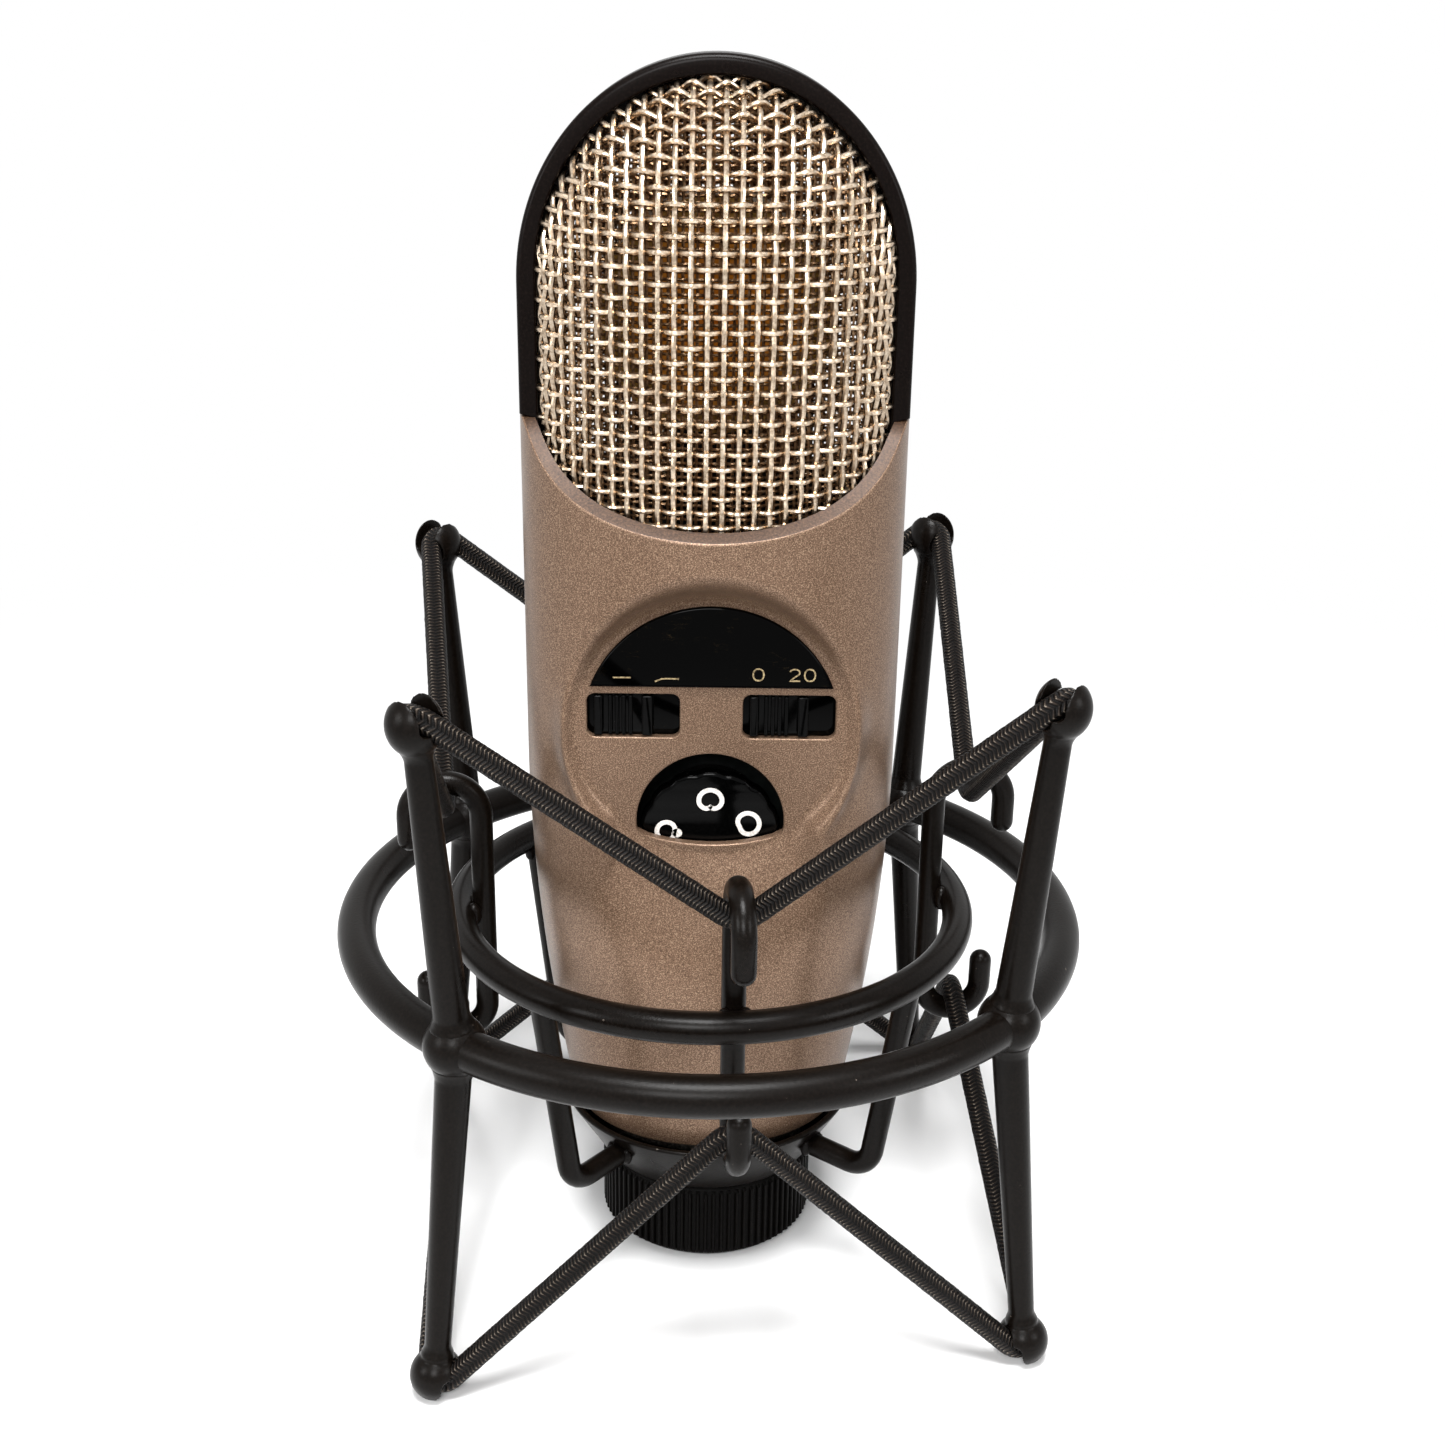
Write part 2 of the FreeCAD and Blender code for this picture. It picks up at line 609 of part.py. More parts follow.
def cord_paths():
    """Upper and lower loop."""
    grip = val("rod_radius") + val("cord_radius") + val("seat_gap")
    ring = val("ring_height")
    top = ring + val("hook_top_rise") + val("hook_top_bend")
    low = ring - val("hook_low_drop") - val("hook_low_bend")
    reach = val("hook_reach")
    upper = loop_wire("upper cord", (reach + val("hook_top_bend"), top - grip), grip,
                      (val("post_reach"), ring + val("post_rise") + val("cord_offset")),
                      val("ball_bend"))
    lower = loop_wire("lower cord", (reach + val("hook_low_bend"), low + grip), grip,
                      (val("leg_reach"), val("foot_height") - val("cord_offset")),
                      val("ball_bend"))
    return upper, lower


def elastics(paths):
    """The two elastic loops, whole."""
    for label, path in zip(("upper_elastic", "lower_elastic"), paths):
        item = feature(label + "_cord", cord_tube(path, val("cord_radius")))
        node(item, label, mount=True)
        expected = math.pi * val("cord_radius") ** 2 * path[0].Length
        print(f"{label}: volume {item.Shape.Volume:.0f} of {expected:.0f} mm3")


# ---------------------------------------------------------------------------------------
# Mount frame
# ---------------------------------------------------------------------------------------
def boss_tool(name):
    """Seats and spigot holes of one boss, for the post above and the leg below."""
    tools = []
    for side, lean in (("up", "post_tilt"), ("down", "180 deg - leg_tilt")):
        tools.append(leaning(f"{name}_{side}_seat", "Part::Cylinder", lean, "ring_radius",
                             "ring_height", "boss_flat", Radius="post_foot + tool_over",
                             Height="boss_radius"))
        tools.append(leaning(f"{name}_{side}_hole", "Part::Cylinder", lean, "ring_radius",
                             "ring_height", "boss_flat - spigot_length",
                             Radius="spigot_radius", Height="boss_radius"))
    return fuse(name, tools)


def outer_ring():
    """Ring with its four bosses."""
    bosses = [ball("boss_" + place, "boss_radius", f"ring_radius * cos({angle})",
                   "ring_height", f"ring_radius * sin({angle})")
              for place, angle in CORNERS.items()]
    whole = fuse("ring_with_bosses", [torus("ring_rod", "ring_radius", "ring_tube",
                                            "ring_height")] + bosses)
    tools = turned_copies("boss_seats", boss_tool, CORNERS.values())
    node(cut("outer_ring_body", whole, tools), "outer_ring", mount=True)


def slotted_rod(name, lean, reach, height, ball_item, cord, slot_low, slot_high):
    """Post or leg: spigot, tapered rod, ball end and the slot that holds the cord."""
    length = f"sqrt(({reach} - ring_radius) ^ 2 + ({height} - ring_height) ^ 2)"
    spigot = leaning(name + "_spigot", "Part::Cylinder", lean, "ring_radius", "ring_height",
                     "boss_flat - spigot_length", Radius="spigot_radius - running_gap",
                     Height="spigot_length + tool_over")
    taper = leaning(name + "_taper", "Part::Cone", lean, "ring_radius", "ring_height",
                    "boss_flat", Radius1="post_foot", Radius2="post_neck",
                    Height=f"{length} - boss_flat")
    solid = fuse(name + "_solid", [spigot, taper, ball_item])
    slot = box(name + "_slot", (f"{reach} - slot_width / 2", f"{reach} + slot_width / 2"),
               ("-ball_radius", "ball_radius"), (slot_low, slot_high))
    return cut(name + "_body", solid, [slot, cord])


def posts_and_legs(paths):
    """Four posts and four legs; each is drawn at azimuth 0 and turned to its boss."""
    room = val("cord_radius") + val("seat_gap")
    for place, angle in CORNERS.items():
        name = "post_" + place
        knob = primitive("Part::Ellipsoid", name + "_ball", Radius1="ball_height",
                         Radius2="ball_radius", Radius3="ball_radius")
        put(knob, "post_reach", z="ring_height + post_rise")
        cord = feature(name + "_cord", cord_tube(paths[0], room))
        cord.Placement = Placement(Vector(), Rotation(Z_AXIS, -45))
        node(slotted_rod(name, "post_tilt", "post_reach", "(ring_height + post_rise)", knob,
                         cord, "ring_height + post_rise + cord_offset - cord_radius",
                         "ring_height + post_rise + 2 * ball_height"),
             name, mount=True, azimuth=str(angle))
    for place, angle in CORNERS.items():
        name = "leg_" + place
        knob = ball(name + "_ball", "ball_radius", "leg_reach", "foot_height")
        cord = feature(name + "_cord", cord_tube(paths[1], room))
        cord.Placement = Placement(Vector(), Rotation(Z_AXIS, -45))
        node(slotted_rod(name, "180 deg - leg_tilt", "leg_reach", "foot_height", knob, cord,
                         "-ball_radius", "foot_height - cord_offset + cord_radius"),
             name, mount=True, azimuth=str(angle))


def stand_lug():
    """Lug behind the ring, with the swivel hole."""
    plate = box("lug_plate", ("ring_radius", "pivot_reach"), ("-lug_half", "lug_half"),
                ("ring_height - lug_round", "ring_height + lug_round"))
    nose = rod_y("lug_nose", "lug_round", "-lug_half", "lug_half", "pivot_reach",
                 "ring_height")
    hole = rod_y("lug_hole", "bolt_radius + running_gap", "-2 * lug_half", "2 * lug_half",
                 "pivot_reach", "ring_height")
    seat = torus("lug_seat", "ring_radius", "ring_tube", "ring_height")
    inside = rod_z("lug_inside", "ring_radius", "0", "2 * ring_height")
    node(cut("stand_lug_body", fuse("lug_solid", [plate, nose]), [hole, seat, inside]),
         "stand_lug", mount=True, azimuth="90")


# ---------------------------------------------------------------------------------------
# Stand adapter and its tension screw
# ---------------------------------------------------------------------------------------
def stand_adapter():
    """Fork with its threaded sleeve, brass insert, captive nut, and the tension screw."""
    ears = []
    for side, low, high in (("left", "-fork_out", "-fork_in"), ("right", "fork_in",
                                                                "fork_out")):
        ears.append(box(f"ear_{side}", ("pivot_reach - lug_round", "pivot_reach + lug_round"),
                        (low, high), ("ring_height - sleeve_top - tool_over", "ring_height")))
        ears.append(rod_y(f"ear_{side}_round", "lug_round", low, high, "pivot_reach",
                          "ring_height"))
    sleeve = rod_z("sleeve_outside", "sleeve_radius", "ring_height - sleeve_bottom",
                   "ring_height - sleeve_top", "pivot_reach")
    hole = rod_y("ear_hole", "bolt_radius + running_gap", "-2 * fork_out", "2 * fork_out",
                 "pivot_reach", "ring_height")
    bore = rod_z("sleeve_bore", "insert_radius", "0", "sleeve_mouth + stand_depth",
                 "pivot_reach")
    node(cut("adapter_body", fuse("adapter_solid", ears + [sleeve]), [hole, bore]),
         "adapter_knuckle", mount=True, azimuth="90")

    insert = rod_z("insert_outside", "insert_radius", "sleeve_mouth",
                   "sleeve_mouth + stand_depth", "pivot_reach")
    thread = rod_z("insert_thread", "stand_thread", "0", "2 * ring_height", "pivot_reach")
    node(cut("thread_insert_body", insert, [thread]), "thread_insert", mount=True,
         azimuth="90")

    hexagon = primitive("Part::Prism", "nut_hexagon", Polygon="6", Circumradius="hex_radius",
                        Height="hex_height")
    put(hexagon, "pivot_reach", "-fork_out - hex_height", "ring_height", (X_AXIS, -90))
    through = rod_y("nut_hole", "bolt_radius + running_gap", "-3 * fork_out", "0",
                    "pivot_reach", "ring_height")
    node(cut("swivel_nut_body", hexagon, [through]), "swivel_nut", mount=True, azimuth="90")

    bolt = rod_y("swivel_bolt_rod", "bolt_radius", "-fork_out - hex_height - tool_over",
                 "fork_out + grip_gap + grip_length / 2", "pivot_reach", "ring_height")
    node(bolt, "swivel_bolt", mount=True, azimuth="90")
    low = "fork_out + grip_gap"
    grip = rod_y("grip_solid", "grip_radius", low, low + " + grip_length", "pivot_reach",
                 "ring_height")
    tools = [rod_y("grip_hole", "bolt_radius", "0", low + " + grip_length / 2",
                   "pivot_reach", "ring_height")]
    for index in range(int(val("grip_notches"))):
        turn = f"360 * {index} / grip_notches"
        tools.append(rod_y(f"grip_notch_{index}", "grip_notch", low + " + grip_step",
                           low + " + 2 * grip_length",
                           f"pivot_reach + (grip_radius + tool_over) * cos({turn})",
                           f"ring_height + (grip_radius + tool_over) * sin({turn})"))
    node(cut("tension_knob_body", grip, tools), "tension_knob", mount=True, azimuth="90")


# ---------------------------------------------------------------------------------------
# Suspended cage
# ---------------------------------------------------------------------------------------
def hook(name, azimuth):
    """Double hook rod: one hook for the upper cord, one for the lower, welded to the ring."""
    top = "ring_height + hook_top_rise"
    low = "ring_height - hook_low_drop"
    top_reach = "hook_reach + 2 * hook_top_bend"
    low_reach = "hook_reach + 2 * hook_low_bend"
    parts = [
        rod_z(name + "_stem", "rod_radius", low, top, "hook_reach"),
        bend(name + "_top", "hook_top_bend", "180", "hook_reach + hook_top_bend", top, 0),
        rod_z(name + "_top_tail", "rod_radius", top + " - hook_top_tail", top, top_reach),
        ball(name + "_top_tip", "rod_radius", top_reach, top + " - hook_top_tail"),
        bend(name + "_low", "hook_low_bend", "180", "hook_reach + hook_low_bend", low, 180),
        rod_z(name + "_low_tail", "rod_radius", low, low + " + hook_low_tail", low_reach),
        ball(name + "_low_tip", "rod_radius", low_reach, low + " + hook_low_tail"),
    ]
    node(fuse(name + "_rod", parts), name, mount=True, azimuth=str(azimuth))


def cup_support(name, azimuth):
    """Bent rod from the inner ring down to the cup."""
    run = leaning(name + "_run", "Part::Cylinder", "support_lean", "support_corner",
                  "support_height", "support_tangent", Radius="rod_radius",
                  Height="support_length - support_tangent")
    elbow = bend(name + "_elbow", "support_bend", "90 deg - support_lean",
                 "support_corner - support_tangent", "support_height + support_bend", -90)
    foot = primitive("Part::Cylinder", name + "_foot", Radius="rod_radius",
                     Height="support_corner - support_tangent - cup_foot_radius")
    foot.Placement = Placement(Vector(), Rotation(Y_AXIS, 90))
    bind(foot, Placement__Base__x="cup_foot_radius", Placement__Base__z="support_height")
    seat = torus(name + "_seat", "inner_ring_radius", "inner_ring_tube", "inner_ring_height")
    cone = primitive("Part::Cone", name + "_cup", Radius1="cup_foot_radius",
                     Radius2="cup_rim_radius", Height="cup_height")
    put(cone, z="cup_bottom")
    node(cut(name + "_rod", fuse(name + "_solid", [run, elbow, foot]), [seat, cone]), name,
         mount=True, azimuth=str(azimuth))


def cage():
    """Inner ring, hooks, supports, cup and pad."""
    ring = torus("inner_ring_rod", "inner_ring_radius", "inner_ring_tube",
                 "inner_ring_height")
    bites = []
    for place, angle in SIDES.items():
        hook("hook_" + place, angle)
        bites.append(rod_z("bite_" + place, "rod_radius", "0", "2 * ring_height",
                           f"hook_reach * cos({angle})", f"hook_reach * sin({angle})"))
    for place, angle in CORNERS.items():
        cup_support("support_" + place, angle)
    node(cut("inner_ring_body", ring, bites), "inner_ring", mount=True)
    node(turned("base_cup_body", [
        ("cup_hole", "cup_bottom"),
        ("cup_foot_radius", "cup_bottom"),
        ("cup_rim_radius", "cup_bottom + cup_height"),
        ("cup_rim_radius - cup_lip", "cup_bottom + cup_height"),
        ("cup_foot_radius - cup_wall", "cup_bottom + cup_floor"),
        ("cup_hole", "cup_bottom + cup_floor")]), "base_cup", mount=True)
    node(turned("cup_pad_body", [
        ("cup_hole + seat_gap", "pad_bottom"),
        ("pad_radius", "pad_bottom"),
        ("pad_radius", "pad_bottom + pad_thickness"),
        ("cup_hole + seat_gap", "pad_bottom + pad_thickness")]), "cup_pad", mount=True)


def clamp_nut():
    """Ribbed nut: a turned body, one rib, and that rib's polar pattern."""
    root = "nut_radius - rib_depth"
    top = "nut_bottom + nut_height"
    body = turned("clamp_nut_body", [
        ("thread_radius + running_gap", "nut_bottom"),
        (root + " - nut_edge", "nut_bottom"),
        (root, "nut_bottom + nut_edge"),
        (root, top + " - nut_edge"),
        (root + " - nut_edge", top),
        ("thread_radius + running_gap", top)])
    outline = body_sketch(body, "XZ_Plane", "nut_rib_outline", [
        (root + " - rib_depth", "nut_bottom + nut_edge"),
        ("nut_radius", "nut_bottom + nut_edge"),
        ("nut_radius", top + " - nut_edge"),
        (root + " - rib_depth", top + " - nut_edge")])
    rib = body.newObject("PartDesign::Pad", "nut_rib")
    rib.Profile = outline
    rib.Midplane = True
    bind(rib, Length="rib_width")
    doc.recompute()
    ribs = body.newObject("PartDesign::PolarPattern", "nut_ribs")
    ribs.Originals = [rib]
    ribs.Axis = (outline, ["V_Axis"])
    ribs.Angle = 360
    bind(ribs, Occurrences="rib_count")
    body.Tip = ribs
    node(body, "clamp_nut", mount=True)


# ---------------------------------------------------------------------------------------
# Microphone body
# ---------------------------------------------------------------------------------------
def tapered_oval(name, inset):
    """Solid of the body's outer form, moved inwards by `inset`."""
    sections = []
    for index in range(int(val("taper_steps")) + 1):
        share = f"(1 - {index} / taper_steps)"
        shrink = f"{share} ^ taper_power"
        rim = primitive("Part::Ellipse", f"{name}_section_{index}",
                        MajorRadius=f"half_width - width_taper * {shrink} - {inset}",
                        MinorRadius=f"half_depth - depth_taper * {shrink} - {inset}")
        sections.append(put(rim, z=f"taper_top - {share} * (taper_top - shell_bottom)"))
    taper = doc.addObject("Part::Loft", name + "_taper")
    taper.Sections = sections
    taper.Solid = True
    barrel = oval(name + "_barrel", f"half_width - {inset}", f"half_depth - {inset}",
                  "taper_top", "shell_top")
    item = doc.addObject("Part::MultiFuse", name)
    item.Shapes = [taper, barrel]
    return item


def crosswise(name, radius, y, z):
    """Long cylinder along X."""
    item = primitive("Part::Cylinder", name, Radius=radius, Height=f"2 * {FAR}")
    return put(item, "-" + FAR, y, z, (Y_AXIS, 90))


def rounded_slot(name, middle, front, back):
    """Rounded rectangular hole for a slider."""
    return rounded_block(name, (f"{middle} - slot_long / 2", f"{middle} + slot_long / 2"),
                         (front, back), ("slot_low", "slot_high"), "slot_corner")


def rounded_block(name, x, y, z, corner):
    """Box whose four edges along Y are rounded."""
    block = box(name + "_block", x, y, z)
    doc.recompute()
    edges = [index + 1 for index, edge in enumerate(block.Shape.Edges)
             if abs(edge.tangentAt(edge.FirstParameter).y) > 0.9]
    item = doc.addObject("Part::Fillet", name)
    item.Base = block
    item.Edges = [(index, val(corner), val(corner)) for index in edges]
    return item


def screw_places():
    """The four base screws, as formulas of x and y."""
    return [(f"{side} * screw_x", f"{front} * screw_y") for front in (-1, 1)
            for side in (-1, 1)]


def half_shell(name, turn, extra=None, tools=()):
    """One half of the body, drawn as the front one: wall, screw bosses, grille mouth."""
    outside = tapered_oval(name + "_outside", "0")
    inside = tapered_oval(name + "_inside", "shell_wall")
    wall = cut(name + "_wall", outside, [inside])
    parts = [wall]
    holes = []
    for index, (x, y) in enumerate(screw_places()[:2]):
        post = rod_z(f"{name}_post_{index}", "screw_post", "shell_bottom",
                     "shell_bottom + screw_post_height", x, y)
        core = tapered_oval(f"{name}_core_{index}", "shell_wall / 2")
        parts.append(common(f"{name}_boss_{index}", post, core))
        holes.append(rod_z(f"{name}_hole_{index}", "screw_radius + running_gap", "0",
                           "shell_bottom + screw_length + screw_room", x, y))
    if extra is not None:
        parts.append(extra)
    mouth = crosswise(name + "_mouth", "mouth_radius", "-mouth_ahead", "mouth_height")
    half = box(name + "_half", ("-" + FAR, FAR), ("-" + FAR, "0"), ("-" + FAR, FAR))
    solid = common(name + "_solid", fuse(name + "_parts", parts), half)
    node(cut(name + "_body", solid, [mouth] + holes + list(tools)), name, turn=turn)


def recess_parts():
    """Tray of the round control recess, and what is cut out of it."""
    tray = rod_y("tray_block", "recess_radius + floor_wall", "-half_depth - tool_over",
                 "-floor_back", z="recess_height")
    outside = tapered_oval("tray_outside", "tray_inset")
    tools = [rod_y("recess_room", "recess_radius", "-" + FAR, "-recess_floor",
                   z="recess_height"),
             rounded_slot("low_cut_slot", "-slot_offset", "-" + FAR, "0"),
             rounded_slot("pad_slot", "slot_offset", "-" + FAR, "0")]
    dome = rod_y("window_dome", "window_radius", "-" + FAR, "0", z="window_height")
    skirt = box("window_skirt", ("-window_radius", "window_radius"), ("-" + FAR, "0"),
                ("0", "window_height"))
    sill = rod_y("window_sill_disc", "window_sill", "-" + FAR, "0", z="recess_height")
    tools.append(common("knob_window", fuse("window_area", [dome, skirt]), sill))
    return common("tray", tray, outside), tools


def shells():
    """Front shell with its control recess, and the rear shell."""
    tray, tools = recess_parts()
    half_shell("front_shell", 0, tray, tools)
    half_shell("rear_shell", 180)


def controls():
    """Badge, black plate, sliders and pattern knob."""
    disc = rod_y("badge_disc", "badge_radius", "-recess_floor - badge_thickness",
                 "-recess_floor", z="badge_height")
    upper = box("badge_upper", ("-badge_radius", "badge_radius"), ("-" + FAR, "0"),
                ("badge_bottom", "badge_bottom + badge_radius"))
    node(common("badge_body", disc, upper), "badge_plate")

    plate = box("bezel_block", ("-slot_offset - slot_long / 2 - bezel_margin",
                                "slot_offset + slot_long / 2 + bezel_margin"),
                ("-floor_back", "-floor_back + bezel_thickness"),
                ("slot_low - bezel_margin", "slot_high + bezel_margin"))
    tools = []
    for name, left in (("low_cut", "slot_left"), ("pad", "slot_right")):
        middle = f"{left} + slider_long / 2"
        tools.append(box(f"{name}_guide", (f"{middle} - stem_long / 2 - seat_gap",
                                           f"{middle} + stem_long / 2 + slider_travel "
                                           "+ seat_gap"),
                         ("-" + FAR, "0"), ("slot_height - stem_long / 2 - seat_gap",
                                            "slot_height + stem_long / 2 + seat_gap")))
        slider(name, left)
    node(cut("slot_plate_body", plate, tools), "slot_plate")

    disc = rod_y("knob_disc", "knob_radius", "-knob_face", "-knob_face + knob_thickness",
                 z="knob_height")
    shaft = rod_y("knob_shaft", "shaft_radius", "-knob_face",
                  "-knob_face + knob_thickness + shaft_length", z="knob_height")
    notches = []
    for index in range(int(val("knob_notches"))):
        turn = f"90 + 360 * ({index} + 0.5) / knob_notches"
        notches.append(rod_y(f"knob_notch_{index}", "knob_notch", "-" + FAR, "-knob_face + "
                             "knob_thickness + tool_over",
                             f"(knob_radius + knob_notch / 2) * cos({turn})",
                             f"knob_height + (knob_radius + knob_notch / 2) * sin({turn})"))
    node(cut("pattern_knob_body", fuse("knob_solid", [disc, shaft]), notches),
         "pattern_knob")


def slider(name, left):
    """Slider cap, grooved between its finger ribs, and the stem that works its switch."""
    face = "-slider_face"
    tall = ("slot_height - slider_tall / 2", "slot_height + slider_tall / 2")
    cap = rounded_block(f"{name}_cap", (left, f"{left} + slider_long"),
                        (f"{face} - slider_rib", "-floor_back - seat_gap"), tall,
                        "slider_corner")
    grooves = []
    for index in range(int(val("slider_ribs")) - 1):
        start = f"{left} + {index} * (slider_long - slider_rib) / (slider_ribs - 1)"
        following = f"{left} + {index + 1} * (slider_long - slider_rib) / (slider_ribs - 1)"
        grooves.append(box(f"{name}_groove_{index}", (f"{start} + slider_rib", following),
                           ("-" + FAR, face), ("0", "2 * slot_height")))
    parts = [cut(f"{name}_ribs", cap, grooves)]
    middle = f"{left} + slider_long / 2"
    parts.append(box(f"{name}_stem", (f"{middle} - stem_long / 2",
                                      f"{middle} + stem_long / 2"),
                     (face, "-switch_front - seat_gap"),
                     ("slot_height - stem_long / 2", "slot_height + stem_long / 2")))
    node(fuse(f"{name}_slider_body", parts), f"{name}_slider")


# ---------------------------------------------------------------------------------------
# Head
# ---------------------------------------------------------------------------------------
def head_band():
    """Arched band; its legs slide down inside the shells."""
    outer = arch("band_outer", "band_radius_x", "band_radius_z", "band_spring",
                 "shell_top - tongue_length", "band_half")
    inner = arch("band_inner", "band_inner_x", "band_inner_z", "grille_spring", "0",
                 "2 * band_half")
    hoop = cut("band_hoop", outer, [inner])
    above = box("band_above", ("-" + FAR, FAR), ("-" + FAR, FAR), ("shell_top", FAR))
    inside = oval("band_inside", "half_width - shell_wall", "half_depth - shell_wall", "0",
                  "shell_top")
    node(common("head_band_body", hoop, fuse("band_room", [above, inside])), "head_band")


def dome(name, inset):
    """Closed head form: elliptical barrel with half an ellipsoid on top."""
    top = primitive("Part::Ellipsoid", name + "_top", Radius1=f"grille_radius_z - {inset}",
                    Radius2=f"grille_radius_y - {inset}",
                    Radius3=f"grille_radius_x - {inset}", Angle1="0")
    put(top, z="grille_spring", turn=(Z_AXIS, 90))
    barrel = oval(name + "_barrel", f"grille_radius_x - {inset}",
                  f"grille_radius_y - {inset}", "deck_top", "grille_spring")
    return fuse(name, [top, barrel])


def lattice(name):
    """Plain grid of upright and level bars, right through the head from front to back."""
    through = ("-" + FAR, FAR)
    bars = []
    for index in range(int(val("mesh_across"))):
        middle = f"({index} - (mesh_across - 1) / 2) * mesh_pitch"
        bars.append(box(f"{name}_upright_{index}", (f"{middle} - mesh_bar / 2",
                                                    f"{middle} + mesh_bar / 2"), through,
                        ("0", FAR)))
    for index in range(int(val("mesh_up"))):
        level = f"mesh_low + {index} * mesh_rise"
        bars.append(box(f"{name}_level_{index}", through, through,
                        (level, level + " + mesh_bar")))
    return fuse(name, bars)


def grilles():
    """Front and rear wire cloth as open grids, and the finer cloth behind each as a skin."""
    layers = (("grille", "0", "grille_wall"),
              ("liner", "(grille_wall + liner_gap)", "liner_wall"))
    for side, turn in (("front", 0), ("rear", 180)):
        for layer, inset, wall in layers:
            name = f"{side}_{layer}"
            skin = cut(name + "_skin", dome(name + "_out", inset),
                       [dome(name + "_in", f"({inset} + {wall})")])
            half = box(name + "_half", ("-" + FAR, FAR), ("-" + FAR, "0"), ("0", FAR))
            mouth = crosswise(name + "_mouth", "mouth_radius + grille_tuck",
                              "-mouth_ahead", "mouth_height")
            above = box(name + "_above", ("-" + FAR, FAR), ("-" + FAR, "0"),
                        ("mouth_height", FAR))
            side_skin = common(name + "_half_skin", skin, half)
            keep = fuse(name + "_keep", [mouth, above])
            sheet_form = common(name + "_sheet", side_skin, keep)
            if layer == "grille":
                sheet_form = common(name + "_grid", sheet_form, lattice(name + "_lattice"))
            node(sheet_form, name, turn=turn)


def capsule():
    """Backplate body, diaphragms, clamp rings, saddle and deck."""
    back = rod_y("capsule_disc", "capsule_radius", "-capsule_half", "capsule_half",
                 z="capsule_height")
    node(back, "capsule_body")
    face = "capsule_half + diaphragm_thickness"
    for side, sign in (("front", -1), ("rear", 1)):
        low, high = sorted_pair(sign, "capsule_half", face)
        node(rod_y(f"{side}_diaphragm_disc", "diaphragm_radius", low, high,
                   z="capsule_height"), f"{side}_diaphragm")
        low, high = sorted_pair(sign, "capsule_half", face + " + clamp_thickness")
        rim = rod_y(f"{side}_clamp_disc", "capsule_radius", low, high, z="capsule_height")
        room = rod_y(f"{side}_clamp_room", "diaphragm_radius", "-" + FAR, FAR,
                     z="capsule_height")
        node(cut(f"{side}_clamp_body", rim, [room]), f"{side}_clamp_ring")
    post = box("saddle_block", ("-saddle_width / 2", "saddle_width / 2"),
               ("-saddle_half", "saddle_half"), ("deck_top", "capsule_height"))
    seat = rod_y("saddle_seat", "capsule_radius", "-" + FAR, FAR, z="capsule_height")
    node(cut("capsule_saddle_body", post, [seat]), "capsule_saddle")
    node(oval("deck_plate", "half_width - shell_wall", "half_depth - shell_wall",
              "deck_top - deck_thickness", "deck_top"), "head_deck")


def sorted_pair(sign, near, far):
    """Low and high formulas of a slab on one side of the seam plane."""
    return (f"-({far})", f"-({near})") if sign < 0 else (near, far)


# ---------------------------------------------------------------------------------------
# Inside the body
# ---------------------------------------------------------------------------------------
def chassis():
    """Chassis frame, boards and switches."""
    low, high = "-panel_back", "-panel_back + rail_depth"
    parts = []
    for side, sign in (("left", -1), ("right", 1)):
        centre = f"{sign} * rail_offset"
        parts.append(box(f"rail_{side}", (f"{centre} - rail_thickness / 2",
                                          f"{centre} + rail_thickness / 2"), (low, high),
                         ("shell_bottom", "deck_top - deck_thickness")))
    parts.append(box("rail_foot", ("-rail_offset", "rail_offset"), (low, high),
                     ("shell_bottom", "shell_bottom + rail_thickness")))
    hole = rod_z("rail_foot_hole", "socket_radius / 2", "0", "board_bottom")
    node(cut("chassis_body", fuse("chassis_solid", parts), [hole]), "chassis_frame")

    node(box("main_board_plate", ("-board_half_width", "board_half_width"),
             ("board_back", "board_back + board_thickness"), ("board_bottom", "board_top")),
         "main_board")
    behind = "board_back + board_thickness"
    parts = [box("transformer", ("-part_size", "part_size"),
                 (behind, behind + " + part_size"),
                 ("board_bottom + part_gap", "board_bottom + part_gap + 2 * part_size"))]
    for index in range(4):
        parts.append(rod_y(f"capacitor_{index}", "part_radius", behind,
                           behind + " + part_size", f"({index} - 1.5) * part_pitch",
                           "board_bottom + 4 * part_size"))
    whole = doc.addObject("Part::Compound", "board_parts_group")
    whole.Links = parts
    node(whole, "board_parts")

    plate = box("switch_board_plate", ("-panel_half_width", "panel_half_width"),
                ("-panel_front", "-panel_back"), ("panel_bottom", "panel_top"))
    node(plate, "switch_board")
    for name, middle in (("low_cut", "-slot_offset"), ("pad", "slot_offset")):
        node(box(f"{name}_switch_block", (f"{middle} - switch_long / 2",
                                          f"{middle} + switch_long / 2"),
                 ("-switch_front", "-panel_front"),
                 ("slot_height - switch_tall / 2", "slot_height + switch_tall / 2")),
             f"{name}_switch")
    rotor = rod_y("rotary_can", "rotary_radius", "-rotary_front", "-panel_front",
                  z="knob_height")
    bore = rod_y("rotary_bore", "shaft_radius + running_gap", "-" + FAR, FAR,
                 z="knob_height")
    node(cut("pattern_switch_body", rotor, [bore]), "pattern_switch")


